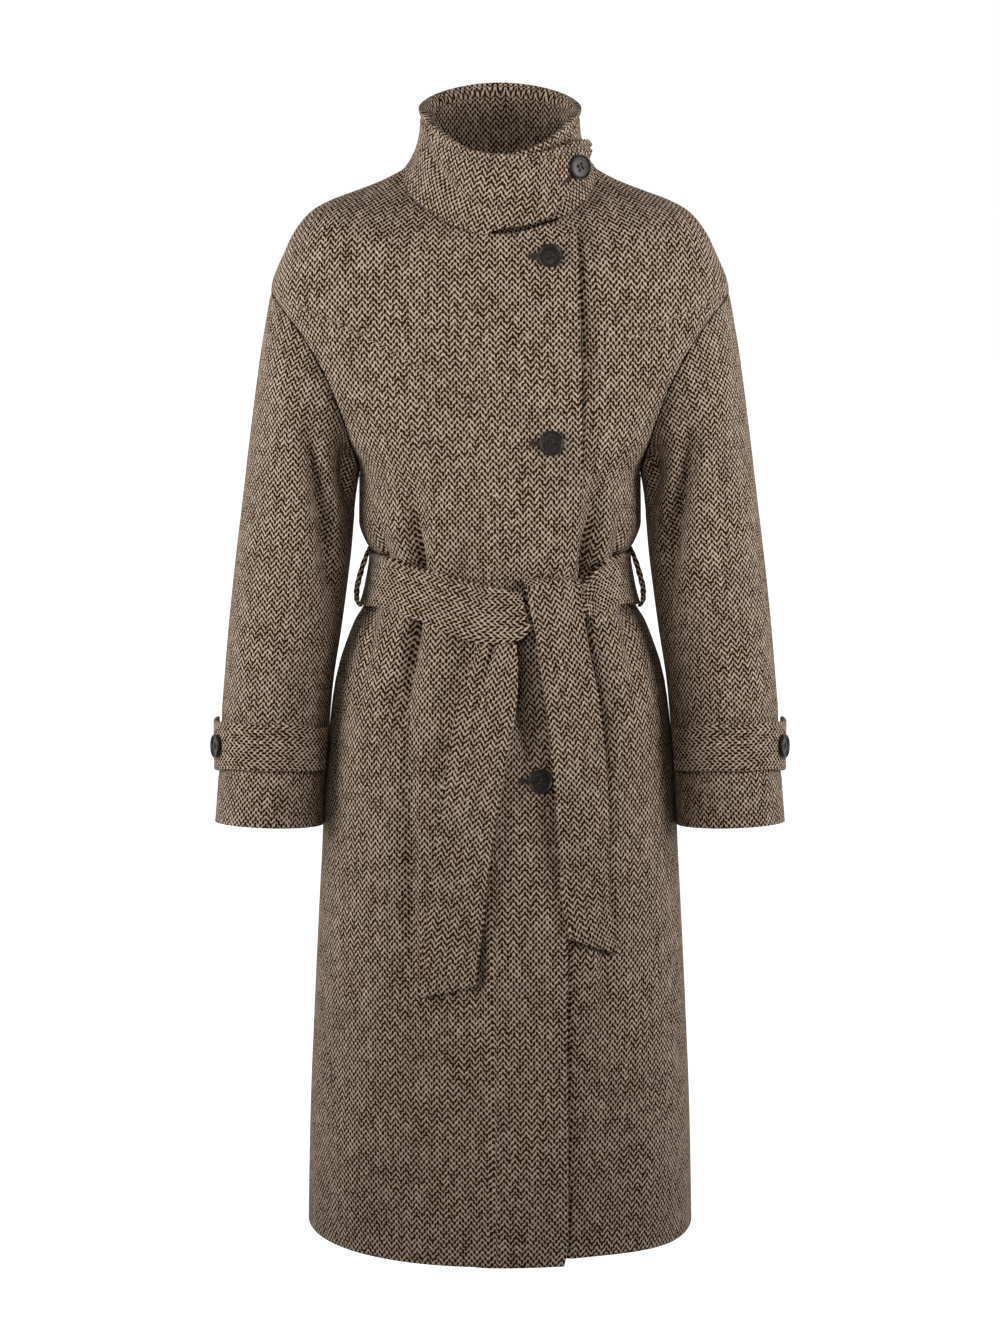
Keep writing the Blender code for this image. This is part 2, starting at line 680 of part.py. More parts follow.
def hole_cutter(name):
    made = bmesh.new()
    for x in (-HOLE_OFFSET, HOLE_OFFSET):
        for y in (-HOLE_OFFSET, HOLE_OFFSET):
            pin = bmesh.ops.create_cone(made, cap_ends=True, segments=6, radius1=HOLE_RADIUS,
                                        radius2=HOLE_RADIUS, depth=4 * BUTTON_HEIGHT)
            bmesh.ops.translate(made, verts=pin["verts"], vec=(x, y, 0))
    cutter = finish(name, made, HORN)
    cutter.hide_render = True
    cutter.hide_viewport = False
    return cutter


def button(name, place, normal):
    made = bmesh.new()
    line = [made.verts.new((r * BUTTON_RADIUS, 0, z * BUTTON_HEIGHT)) for r, z in BUTTON_PROFILE]
    edges = [made.edges.new(pair) for pair in zip(line, line[1:])]
    bmesh.ops.spin(made, geom=line + edges, cent=(0, 0, 0), axis=(0, 0, 1), angle=2 * math.pi,
                   steps=BUTTON_SIDES, use_merge=True)
    bmesh.ops.remove_doubles(made, verts=made.verts[:], dist=0.00001)
    bmesh.ops.recalc_face_normals(made, faces=made.faces[:])
    disc = finish(name, made, HORN)
    cutter = hole_cutter(name + "_holes")
    for thing in (disc, cutter):
        thing.location = place + normal * SEAM
        thing.rotation_euler = normal.to_track_quat("Z", "Y").to_euler()
    cut = disc.modifiers.new("holes", "BOOLEAN")
    cut.operation = "DIFFERENCE"
    cut.solver = "EXACT"
    cut.object = cutter


def front_button(number, z, x):
    v = v_at(0.0, z)
    for _ in range(4):
        angle = angle_at(x, v)
        v = v_at(angle, z)

    place, normal = over_front(angle, v), surface_normal(over_front, angle, v, 0.08, 0.010)
    button(f"button_front_{number}", place, normal)


def collar_button():
    degrees, share = COLLAR_BUTTON
    normal = -surface_normal(collar, degrees, share, 4.0, 0.1)
    leaning = (normal + Vector((0, -COLLAR_BUTTON_TILT, 0))).normalized()
    button("button_collar", collar(degrees, share) + normal * COLLAR_BUTTON_SHANK, leaning)


def cuff_button(name, side):
    normal = -surface_normal(on_strap, CUFF_BUTTON, 0.5, 0.05, 0.1)
    button(name, mirrored(on_strap(CUFF_BUTTON, 0.5), side), mirrored(normal, side))


front_panel("front_right", right_angles, HEM_OVER, True)
front_panel("front_left", left_angles, HEM_UNDER, False)
back_panel()
back_neck_lining()
collar_band()
belt()
belt_tail("belt_tail_right", TAIL_RIGHT, TAIL_RIGHT_SLANT, right_layer)
belt_tail("belt_tail_left", TAIL_LEFT, TAIL_LEFT_SLANT, left_layer, hooked=True)
collar_button()
for count, (height, off_centre) in enumerate(FRONT_BUTTONS, 1):
    front_button(count, height, off_centre)
for word, hand in (("right", -1), ("left", 1)):
    sleeve_tube("sleeve_" + word, hand)
    cuff_strap("cuff_strap_" + word, hand)
    cuff_button("button_cuff_" + word, hand)
    belt_loop("belt_loop_" + word, hand)
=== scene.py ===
import math

import bmesh
import bpy
import numpy as np
from mathutils import Matrix, Vector


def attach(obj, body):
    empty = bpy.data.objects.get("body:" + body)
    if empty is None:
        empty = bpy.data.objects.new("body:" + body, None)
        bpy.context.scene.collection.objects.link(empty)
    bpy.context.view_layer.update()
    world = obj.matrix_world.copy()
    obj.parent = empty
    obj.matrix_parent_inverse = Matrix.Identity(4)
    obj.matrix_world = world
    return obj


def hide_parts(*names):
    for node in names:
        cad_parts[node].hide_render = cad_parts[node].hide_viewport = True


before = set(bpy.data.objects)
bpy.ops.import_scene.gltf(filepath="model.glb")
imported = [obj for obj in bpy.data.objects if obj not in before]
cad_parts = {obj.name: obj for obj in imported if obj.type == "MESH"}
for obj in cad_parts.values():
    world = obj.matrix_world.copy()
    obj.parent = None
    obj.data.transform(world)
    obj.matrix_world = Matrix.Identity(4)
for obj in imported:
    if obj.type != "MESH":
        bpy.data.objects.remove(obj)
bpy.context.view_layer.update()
print("frame:", len(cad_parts), "nodes")


def inMetres(rows, plain=None):  # a table in millimetres, where one column may be plain numbers
    return [tuple(value if k == plain else value * 0.001 for k, value in enumerate(row)) for row in rows]


# The coat's cut, the same sections as its solids, in metres, with tables in millimetres
cut = {
    "wall": 0.0025, "collarWall": 0.005, "bandWall": 0.004, "bandEdge": 0.0014, "roundness": 2.2,
    "seam": 0.0004, "seamLine": 0.0001, "clear": 0.001, "beltClear": 0.0015, "merge": 0.00001,
    "hemOver": -1.083, "hemUnder": -1.077, "hemBack": -1.081, "hemDrop": 0.0075, "hemDropFrom": (0.45, 1.2),
    "girth": 0.14,  # radius that turns an angle round the coat into a distance
    "frontGuess": 0.16,  # radius for a first guess of where a place on the front lies
}
cut["lap"] = cut["wall"] + cut["clear"]

# frontY, frontZ, sideX, sideZ, backY, backZ, bend
bodyRows = np.array(inMetres((
    (78, -56, 97.6, 6.8, 70, 18, 1.0),
    (88, -75, 117.7, -3.1, 80, 6, 1.3),
    (96, -98, 144, -13.1, 90, -10, 1.6),
    (103, -122, 171.2, -23.1, 98, -30, 1.9),
    (109, -143, 189.5, -33.1, 104, -50, 2.0),
    (114, -165, 206.8, -53.1, 110, -75, 2.0),
    (118, -185, 217.1, -73.1, 115, -98, 2.0),
    (122.5, -215, 231.5, -114.3, 121, -135, 2.0),
    (125.5, -243, 220, -160, 125, -175, 2.0),
    (128, -266, 200, -200, 126, -210, 2.0),
    (130, -292, 169, -250, 124, -255, 2.0),
    (131, -318, 143.5, -300, 119, -300, 2.0),
    (130, -353, 144, -347, 111, -345, 2.0),
    (127, -380, 137.5, -367, 107, -363, 2.0),
    (121.5, -400, 128.5, -381, 103.5, -376, 2.0),
    (122, -426, 132.5, -409, 104, -403, 2.0),
    (124.5, -450, 139, -433, 108, -428, 2.0),
    (129, -468, 149.5, -451, 115, -447, 2.0),
    (133.5, -487, 158, -472, 123, -470, 2.0),
    (137, -504, 165, -492.5, 130, -492.5, 2.0),
    (139.5, -520, 169.8, -513, 136, -513, 2.0),
    (143.5, -557, 175.5, -555, 144, -555, 2.0),
    (148, -618, 181.2, -618, 151, -618, 2.0),
    (152, -682, 184.3, -682, 156, -682, 2.0),
    (156, -746, 188, -746, 161, -746, 2.0),
    (163, -853, 193.7, -853, 168, -853, 2.0),
    (170, -961, 198.8, -961, 174, -961, 2.0),
    (176, -1080, 202, -1080, 178, -1080, 2.0),
    (176.5, -1100, 202.5, -1100, 178.5, -1100, 2.0),
), plain=6))
armhole = {"tipRow": 7, "underarmRow": 11, "waistEndRow": 19, "dip": math.radians(25), "steps": 9}

# z and x of the over front's edge
overEdge = inMetres(((-54, 46), (-60, 62), (-70, 73.5), (-85, 77), (-250, 79.5),
                     (-410, 77.5), (-560, 72), (-750, 66.6), (-1068, 67.6), (-1085, 63)))
lapping = {
    "underEdge": -0.005, "start": -0.032, "full": -0.009, "cover": (0.082, 0.112), "readAt": 0.4,
    "press": (0.0045, 0.003),  # depth and half width of the dent that the edge leaves in the under front
    # The edge stands up a little, but not at the belt or near the collar
    "roll": 0.0022, "rollFrom": (0.052, 0.074), "aboveBelt": (-0.35, -0.31), "belowBelt": (-0.52, -0.47),
    "nearCollar": (-0.13, -0.09),
}

# Main folds of the fronts: x0, z0, x1, z1, depth, half width
frontFolds = inMetres((
    (-86, -285, -78, -400, 7.5, 12),
    (97.5, -290, 84, -400, 9, 12),
    (-120.5, -340, -114, -395, 5, 8),
    (120.5, -335, 116, -395, 5, 8),
    (-84, -440, -99, -540, 7, 13),
    (83, -430, 108, -620, 8.5, 14),
    (14, -450, 26, -570, 5, 15),
))
# Sharper lines in those folds and softer creases, which only the looks carry. A negative depth is a ridge,
# and the last value says whether a line is deepest at its lower end, 1, at its upper end, -1, or midway, 0
frontCreases = inMetres((
    (-87.5, -285, -76.5, -420, 7, 7, 1),
    (-85, -310, -76.5, -420, 11, 2.8, 1),
    (97.5, -285, 79, -420, 8, 7, 1),
    (95, -305, 79, -420, 14, 3, 1),
    (-120.5, -335, -112, -415, 10, 3.5, 1),
    (120.5, -330, 114, -415, 10, 3.5, 1),
    (-81.5, -405, -98.5, -560, 8, 7.5, -1),
    (-81.5, -405, -97, -540, 12, 3, -1),
    (80, -405, 109, -680, 12, 9, -1),
    (81.5, -405, 108, -640, 18, 5.5, -1),
    (100, -500, 109, -860, 8, 7.5, 0),
    (-93.5, -480, -89, -830, 6, 8, 0),
    (-25, -640, -23, -860, 4, 9, 0),
    (13, -420, 27, -610, 22, 7.5, -1),
    (-70, -290, -64, -415, -3, 9, 1),
    (112, -300, 100, -415, -3, 9, 1),
    (-48, -325, -43, -415, 3.5, 9, 1),
    (25, -330, 28, -415, 3, 10, 1),
    (-111.8, -455, -153.5, -610, -3, 14, 0),
    (113.9, -460, 155.4, -600, -3, 14, 0),
    (-62, -420, -70, -560, -2.8, 12, -1),
    (-32, -420, -36, -540, 3, 12, -1),
    (125, -410, 140, -560, 6, 6, -1),
    (-127, -410, -140, -540, 6, 6, -1),
    (-150, -930, -164, -1075, -3.5, 20, 0),
    (150, -930, 164, -1075, -3.5, 20, 0),
    (-90, -700, -105, -1080, 3, 30, 0),
    (115, -760, 128, -1080, 3, 28, 0),
), plain=6)

# outerX, outerZ, innerX, innerZ, middleY, halfY, frontRise
sleeveRows = np.array(inMetres((
    (243.6, -184, 147, -322, -3, 83, 0),
    (253.5, -255, 149.2, -348, -5, 79, 0),
    (262.5, -327, 151.8, -377.8, -9, 76, 1),
    (270.1, -387.8, 156, -412.3, -14, 73, 2),
    (276.8, -449.3, 162.1, -456.6, -19, 71, 4),
    (282.2, -510.7, 170.5, -510.7, -25, 70, 5),
    (285.5, -551.8, 174.4, -551.8, -29, 69, 6),
    (289.1, -613.7, 179.2, -615, -33, 69, 7),
    (292.2, -653, 181.4, -657, -36, 70, 8),
)))
sleeveFold = {
    "troughAt": math.radians(84), "swing": 3.55, "spread": 0.25, "trough": 0.008,
    "fadeIn": (0.0, 0.08), "fadeOut": (0.22, 0.36), "creaseIn": (0.0, 0.022), "girth": 0.065,
}

# How folds end, the roll into a seam, and gathers at the back. Levels have a height and a half width,
# and waves a number for each radian and a share
folding = {"blunt": 0.8, "deepFrom": 0.9, "tipFrom": 0.93}
seamRoll = {"depth": 0.0014, "halfWidth": 0.0045}
backGathers = {
    "depth": 0.0042, "lean": 0.35, "fade": 0.9, "levels": ((-0.33, 0.055), (-0.5, 0.075)),
    "wide": (9, 0.5), "sway": (3, 2.1), "fine": (15, 0.25), "fineShift": 1.3,
}


def arrays(*values):  # as float arrays of one shape
    return np.broadcast_arrays(*(np.asarray(value, float) for value in values))


def bell(distance, halfWidth):
    return np.exp(-(distance / halfWidth) ** 2)


def blend(start, end, share):
    return start + (end - start) * share


def curveAt(xs, ys, x):  # cubic through table rows that never swings past them
    xs, ys, x = np.asarray(xs, float), np.asarray(ys, float), np.asarray(x, float)
    flat = ys.ndim == 1
    rows = ys[:, None] if flat else ys
    step = np.diff(xs)
    secant = np.diff(rows, axis=0) / step[:, None]
    product = secant[:-1] * secant[1:]
    total = np.where(product > 0, secant[:-1] + secant[1:], 1.0)
    slope = np.concatenate((secant[:1], np.where(product > 0, 2 * product / total, 0.0), secant[-1:]))
    i = np.clip(np.searchsorted(xs, x, side="right") - 1, 0, len(xs) - 2)
    t = (x - xs[i]) / step[i]
    k = 0 if flat else np.arange(rows.shape[1])
    h = step[i]
    return ((2 * t ** 3 - 3 * t ** 2 + 1) * rows[i, k] + (t ** 3 - 2 * t ** 2 + t) * slope[i, k] * h
            + (3 * t ** 2 - 2 * t ** 3) * rows[i + 1, k] + (t ** 3 - t ** 2) * slope[i + 1, k] * h)


def tableAt(table, x, column=1):
    rows = sorted(table)
    return curveAt([r[0] for r in rows], [r[column] for r in rows], x)


def ease(start, end, x):
    t = np.clip((np.asarray(x, float) - start) / (end - start), 0, 1)
    return t * t * (3 - 2 * t)


def sideLengths(x, z):
    return np.concatenate(([0.0], np.cumsum(np.hypot(np.diff(x), np.diff(z)))))


bodyV = sideLengths(bodyRows[:, 2], bodyRows[:, 3])
vTip, vUnderarm = bodyV[armhole["tipRow"]], bodyV[armhole["underarmRow"]]


def foldFade(share, pull=0):  # how deep a fold is along its line
    if not pull:
        return np.sin(math.pi * np.clip(share, 0, 1)) ** folding["blunt"]
    toDeepEnd = share if pull > 0 else 1 - share
    return ease(0.0, folding["deepFrom"], toDeepEnd) * (1 - ease(folding["tipFrom"], 1.0, toDeepEnd))


def foldDepth(folds, x, z):
    depth = np.zeros_like(x)
    for x0, z0, x1, z1, deep, halfWidth, *pull in folds:
        length = math.hypot(x1 - x0, z1 - z0)
        share = ((x - x0) * (x1 - x0) + (z - z0) * (z1 - z0)) / length ** 2
        across = ((x - x0) * (z1 - z0) - (z - z0) * (x1 - x0)) / length
        depth += deep * foldFade(share, *pull) * bell(across, halfWidth)
    return depth


def ovalRadius(s, c, sideways, deep):
    n = cut["roundness"]
    return (np.abs(s / sideways) ** n + np.abs(c / deep) ** n) ** (-1 / n)


def body(angle, v, out=0.0, folded=True, creased=False):
    angle, v = arrays(angle, v)
    frontY, frontZ, sideX, sideZ, backY, backZ, bend = (curveAt(bodyV, column, v) for column in bodyRows.T)
    s, c = np.sin(angle), np.cos(angle)
    isFront = c >= 0
    farZ = np.where(isFront, frontZ, backZ)
    radius = ovalRadius(s, c, sideX, np.where(isFront, frontY, backY)) + out
    z = blend(sideZ, farZ, np.abs(c) ** bend)
    if folded:
        radius = radius - np.where(isFront, foldDepth(frontFolds, radius * s, z), 0)
    if creased:
        radius = radius - np.where(isFront, foldDepth(frontCreases, radius * s, z), backDrape(angle, z))
    return np.stack((radius * s, -radius * c, z), -1)


def seamDip(distance):  # cloth rolls down into a seam
    return seamRoll["depth"] * bell(distance, seamRoll["halfWidth"])


def backDrape(angle, z):  # soft gathers over and under the belt at the back
    turn = angle - math.pi
    near = sum(bell(z - level, halfWidth) for level, halfWidth in backGathers["levels"])
    (wide, wideShare), (fine, fineShare) = backGathers["wide"], backGathers["fine"]
    swayTurns, sway = backGathers["sway"]
    wave = np.sin(turn * wide + sway * np.sin(turn * swayTurns)) * wideShare
    wave = wave + np.sin(turn * fine + backGathers["fineShift"]) * fineShare
    deep = backGathers["depth"] * near * (wave + backGathers["lean"])
    return deep * np.cos(turn * backGathers["fade"]) ** 2


def solve(value, low, high, target, halvings=34):  # where a rising function reaches its target
    low, high = np.full(target.shape, float(low)), np.full(target.shape, float(high))
    for _ in range(halvings):
        middle = (low + high) / 2
        below = value(middle) < target
        low, high = np.where(below, middle, low), np.where(below, high, middle)
    return (low + high) / 2


def angleAt(x, v):
    x, v = arrays(x, v)
    return solve(lambda angle: body(angle, v, folded=False)[..., 0], -math.pi / 2, math.pi / 2, x)


def vAt(angle, z):
    angle, z = arrays(angle, z)
    return solve(lambda v: -body(angle, v, folded=False)[..., 2], bodyV[0], bodyV[-1], -z)


# How far apart the points that give a normal are, round the piece and down it
normalSteps = {"cloth": (0.04, 0.0005), "button": (0.08, 0.01), "collar": (4.0, 0.1), "strap": (0.05, 0.1)}


def normalAt(place, a, b, steps):
    stepA, stepB = normalSteps[steps]
    along = place(a + stepA, b) - place(a - stepA, b)
    down = place(a, b + stepB) - place(a, b - stepB)
    normal = np.cross(down, along)
    return normal / np.linalg.norm(normal, axis=-1, keepdims=True)


def lapLift(x):
    return cut["lap"] * ease(lapping["start"], lapping["full"], x)


def lapCover(x):
    return lapLift(x) * (1 - ease(*lapping["cover"], x))


def frontSpot(x, z, guess, rounds):  # angle and length down the front of the place at x and z
    v = vAt(guess, z)
    for _ in range(rounds):
        angle = angleAt(x, v)
        v = vAt(angle, z)
    return angle, v


def frontPlace(x, z, out):
    angle, v = frontSpot(x, z, np.arcsin(np.clip(x / cut["frontGuess"], -1, 1)), 2)
    return body(angle, v, out + lapCover(x), folded=False)


# Shader nodes
def mathMethod(operation, reflected=False):
    def method(self, other=0.0):
        a, b = (other, self) if reflected else (self, other)
        return self.node("ShaderNodeMath", {"operation": operation}, {0: a, 1: b})

    return method


class Wire:  # a socket that Python's operators can use
    def __init__(self, tree, socket):
        self.tree, self.socket = tree, socket

    def node(self, kind, settings=None, sockets=None, output=0):
        made = self.tree.nodes.new(kind)
        for key, value in (settings or {}).items():
            setattr(made, key, value)
        for key, value in (sockets or {}).items():
            if isinstance(value, Wire):
                self.tree.links.new(value.socket, made.inputs[key])
            else:
                made.inputs[key].default_value = value
        return Wire(self.tree, made.outputs[output])

    __add__, __radd__ = mathMethod("ADD"), mathMethod("ADD", True)
    __sub__, __rsub__ = mathMethod("SUBTRACT"), mathMethod("SUBTRACT", True)
    __mul__, __rmul__ = mathMethod("MULTIPLY"), mathMethod("MULTIPLY", True)
    __truediv__, __rtruediv__ = mathMethod("DIVIDE"), mathMethod("DIVIDE", True)
    __abs__, fraction, whole = mathMethod("ABSOLUTE"), mathMethod("FRACT"), mathMethod("FLOOR")

    def tent(self):  # 1 at whole numbers and 0 midway
        return abs(self.fraction() - 0.5) * 2

    def swing(self, amount):  # a noise as a swing to both sides
        return (self - 0.5) * amount

    def between(self, low, high):  # smooth step
        return self.node("ShaderNodeMapRange", {"interpolation_type": "SMOOTHSTEP"},
                         {"Value": self, "From Min": low, "From Max": high})

    def mix(self, a, b):  # colours a to b by this factor
        return self.node("ShaderNodeMix", {"data_type": "RGBA"}, {0: self, 6: a, 7: b}, output=2)

    def objectPlace(self):
        return self.node("ShaderNodeTexCoord", output=3)

    def noise(self, scale, detail=2.0, distortion=0.0):  # a noise at this place
        return self.node("ShaderNodeTexNoise", None,
                         {"Vector": self, "Scale": scale, "Detail": detail, "Distortion": distortion})

    def stretched(self, scale):
        return self.node("ShaderNodeMapping", None, {"Vector": self, "Scale": scale})

    def bump(self, strength, distance):  # this height as a normal
        return self.node("ShaderNodeBump", None, {"Strength": strength, "Distance": distance, "Height": self})


def newMaterial(name, constants):
    made = bpy.data.materials.new(name)
    made.use_nodes = True
    shader = made.node_tree.nodes["Principled BSDF"]
    for key, value in constants.items():
        shader.inputs[key].default_value = value
    return made, Wire(made.node_tree, None), shader


def feed(wire, shader, **links):
    for key, value in links.items():
        wire.tree.links.new(value.socket, shader.inputs[key.replace("_", " ")])


tweed = {
    "period": 0.011, "pitch": 0.0063, "rise": 0.007,  # chevron width, line spacing, climb of one arm
    "yarns": 4,  # warp yarns across one chevron
    "dark": (0.026, 0.0115, 0.0042, 1), "light": (0.72, 0.595, 0.485, 1), "warm": (0.19, 0.108, 0.058, 1),
    "wander": 0.0012, "lineWander": 0.0018, "drift": 0.0036, "bump": (0.9, 0.0006),
    # Noises, in cycles for each metre of cloth
    "yarnNoise": 140, "lineNoise": 260, "driftNoise": 22, "finishNoise": 17, "paleNoise": 34,
    "fibreNoise": 1100, "fleckNoise": 420, "cloudNoise": 11, "warmNoise": 330, "fuzzNoise": 1500,
    "streakNoise": (260, 34, 1),
    # How much each adds, and between which values it counts
    "finish": (0.35, 0.65), "steps": (0.35, 0.4), "floatSeeds": (5.37, 7.31, 60), "borderFrom": (0.45, 1.0),
    "border": 0.25, "slub": 0.95, "fibre": 0.7, "pale": 0.25, "litFrom": (0.4, 0.98),
    "fleckFrom": (0.56, 0.72), "fleck": 0.35, "warmFrom": (0.35, 0.75), "warmShare": 0.4,
    "value": (0.6, 0.3, 0.5), "saturation": (1.4, 0.34), "height": (0.7, 0.5, 0.3),
    "roughness": (0.98, 0.1),
}


def makeTweed():
    made, w, shader = newMaterial("tweedHerringbone", {
        "Sheen Weight": 0.04, "Sheen Roughness": 0.5, "Sheen Tint": (0.8, 0.68, 0.55, 1),
        "Specular IOR Level": 0.06})
    uv = w.node("ShaderNodeUVMap", {"uv_map": "weave"})
    u, v = (w.node("ShaderNodeSeparateXYZ", None, {0: uv}, output=axis) for axis in (0, 1))

    def noise(name, detail=2.0):
        return uv.noise(tweed[name + "Noise"], detail)

    # Yarns wander, and whole lines drift up and down, so the chevrons aren't ruled
    u = u + noise("yarn").swing(tweed["wander"])
    v = v + noise("line", 3).swing(tweed["lineWander"]) + noise("drift").swing(tweed["drift"])
    turns = u / tweed["period"]
    yarn = turns * tweed["yarns"] + 0.5
    # A line climbs from yarn to yarn in steps, which the cloth's finish has smoothed more in some places
    fewest, more = tweed["steps"]
    steps = noise("finish").between(*tweed["finish"]) * more + fewest
    stepped = yarn.whole() / tweed["yarns"] * steps + turns * (1 - steps)
    phase = v / tweed["pitch"] + stepped.tent() * (tweed["rise"] / tweed["pitch"])
    # Every float of yarn has its own thickness
    seedU, seedV, along = tweed["floatSeeds"]
    floatAt = w.node("ShaderNodeCombineXYZ", None,
                     {0: yarn.whole() * seedU, 1: phase.whole() * seedV, 2: v * along})
    slub = floatAt.noise(1.0, 1.0)
    border = yarn.tent().between(*tweed["borderFrom"])
    lit = phase.tent() + border * tweed["border"] + slub.swing(tweed["slub"])
    lit = lit + noise("fibre", 1).swing(tweed["fibre"]) + noise("pale", 3).swing(tweed["pale"])
    lit = lit.between(*tweed["litFrom"])
    # Flecks of warm fibre, streaks of thick yarn and slow shading of the dye lot
    fleck = noise("fleck").between(*tweed["fleckFrom"]) * tweed["fleck"]
    warm = noise("warm").between(*tweed["warmFrom"]) * tweed["warmShare"]
    streak = uv.stretched(tweed["streakNoise"]).noise(1.0, 3.0)
    colour = lit.mix(fleck.mix(tweed["dark"], tweed["warm"]), warm.mix(tweed["light"], tweed["warm"]))
    least, cloudy, streaky = tweed["value"]
    full, paler = tweed["saturation"]
    shade = w.node("ShaderNodeHueSaturation", None, {
        "Color": colour, "Value": least + noise("cloud", 3) * cloudy + streak * streaky,
        "Saturation": full - lit * paler})
    raised, fuzzy, slubby = tweed["height"]
    height = lit * raised + noise("fuzz") * fuzzy + slub * slubby
    rough, smoother = tweed["roughness"]
    feed(w, shader, Base_Color=shade, Roughness=rough - lit * smoother, Normal=height.bump(*tweed["bump"]))
    return made


def feedPlain(w, shader, look, mixed, grain):  # one noise mixes the colours, and one roughens the surface
    smooth, rougher = look["roughness"]
    feed(w, shader, Base_Color=mixed.mix(*look["colours"]), Roughness=smooth + grain * rougher,
         Normal=grain.bump(*look["bump"]))


satin = {"colours": ((0.2, 0.19, 0.19, 1), (0.27, 0.26, 0.255, 1)), "stretch": (900, 900, 40),
         "bump": (0.3, 0.0001), "roughness": (0.3, 0.15)}


def makeSatin():
    made, w, shader = newMaterial("liningSatin", {"Sheen Weight": 0.2, "Specular IOR Level": 0.5})
    fibre = w.objectPlace().stretched(satin["stretch"]).noise(1.0)
    feedPlain(w, shader, satin, fibre, fibre)
    return made


horn = {"colours": ((0.02, 0.016, 0.014, 1), (0.046, 0.035, 0.029, 1)), "cloud": (120.0, 4.0, 1.2),
        "brownFrom": (0.4, 0.7), "scuff": 1400.0, "bump": (0.15, 0.0001), "roughness": (0.3, 0.16)}


def makeHorn():
    made, w, shader = newMaterial("buttonHorn", {"Coat Weight": 0.0, "IOR": 1.5, "Specular IOR Level": 0.35})
    cloud = w.objectPlace().noise(*horn["cloud"]).between(*horn["brownFrom"])
    feedPlain(w, shader, horn, cloud, w.objectPlace().noise(horn["scuff"]))
    return made


thread = {"colours": ((0.03, 0.02, 0.014, 1), (0.075, 0.052, 0.038, 1)), "ply": (1800.0, 1.0),
          "bump": (0.5, 0.0001), "roughness": (0.6, 0.2)}


def makeThread():
    made, w, shader = newMaterial("sewingThread", {"Sheen Weight": 0.3, "Specular IOR Level": 0.3})
    ply = w.objectPlace().noise(*thread["ply"])
    feedPlain(w, shader, thread, ply, ply)
    return made


tweedCloth, liningSatin, buttonHorn, sewingThread = makeTweed(), makeSatin(), makeHorn(), makeThread()
print("materials made")


# Cloth pieces
opening = {"iterations": 30, "samples": 400}
turnedEdge = {"rim": 0.001, "segments": 2, "angle": math.radians(55)}


def newGrid(columns, rows):
    bm = bmesh.new()
    bmesh.ops.create_grid(bm, x_segments=columns, y_segments=rows, size=1.0)
    flat = np.array([vert.co[:2] for vert in bm.verts])
    return bm, (flat[:, 0] + 1) / 2, (flat[:, 1] + 1) / 2


def moveTo(bm, points):
    for vert, point in zip(bm.verts, points):
        vert.co = point


def linkObject(name, data):
    made = bpy.data.objects.new(name, data)
    bpy.context.scene.collection.objects.link(made)
    return made


def newObject(name, bm, material=None):
    mesh = bpy.data.meshes.new(name)
    bm.to_mesh(mesh)
    bm.free()
    if material:
        mesh.materials.append(material)
    return linkObject(name, mesh)


def plainName(node):  # front_right becomes frontRight, and collar becomes collarCloth
    first, *rest = node.split("_") if "_" in node else (node, "cloth")
    return first + "".join(word.capitalize() for word in rest)


def layWeave(bm, flat):  # flat holds each corner's place in the cloth as one complex number
    weave = bm.loops.layers.uv.new("weave")
    for face in bm.faces:
        for loop in face.loops:
            at = flat[loop.vert.index]
            loop[weave].uv = (at.real, at.imag)
    return weave


def laidOn(want, weight, flat):  # turned and scaled to the wanted places, after the error that is left
    centre, wantCentre = np.average(flat, weights=weight), np.average(want, weights=weight)
    spread = flat - centre
    turn = np.sum(weight * (want - wantCentre) * np.conj(spread)) / np.sum(weight * np.abs(spread) ** 2)
    laid = spread * turn + wantCentre
    return np.sum(weight * np.abs(laid - want) ** 2), laid


def flattenedUv(place, columns, rows, target):
    # Opens the panel flat on a coarse grid, then turns and scales it to the cloth's grain in metres
    bm, a, b = newGrid(columns, rows)
    moveTo(bm, place(a, b))
    made = newObject("flatten", bm)
    mesh = made.data
    mesh.uv_layers.new(name="weave")
    bpy.context.view_layer.objects.active = made
    made.select_set(True)
    bpy.ops.object.mode_set(mode="EDIT")
    bpy.ops.mesh.select_all(action="SELECT")
    bpy.ops.uv.unwrap(method="MINIMUM_STRETCH", iterations=opening["iterations"], margin=0.0)
    bpy.ops.object.mode_set(mode="OBJECT")
    uv = np.zeros((len(a), 2))
    for loop, item in zip(mesh.loops, mesh.uv_layers["weave"].data):
        uv[loop.vertex_index] = item.uv
    bpy.data.objects.remove(made)
    bpy.data.meshes.remove(mesh)
    want, weight = target(a, b)
    flips = [laidOn(want, weight, uv[:, 0] + flip * uv[:, 1]) for flip in (1j, -1j)]
    _, laid = min(flips, key=lambda fit: fit[0])
    sheetUv = np.zeros((rows + 1, columns + 1), complex)
    sheetUv[np.rint(b * rows).astype(int), np.rint(a * columns).astype(int)] = laid
    return lambda a, b: spreadUv(sheetUv, a, b)


def spreadUv(sheetUv, a, b):
    rows, columns = sheetUv.shape[0] - 1, sheetUv.shape[1] - 1
    x, y = a * columns, b * rows
    i, j = np.minimum(x.astype(int), columns - 1), np.minimum(y.astype(int), rows - 1)
    s, t = x - i, y - j
    top = sheetUv[j, i] * (1 - s) + sheetUv[j, i + 1] * s
    low = sheetUv[j + 1, i] * (1 - s) + sheetUv[j + 1, i + 1] * s
    return top * (1 - t) + low * t


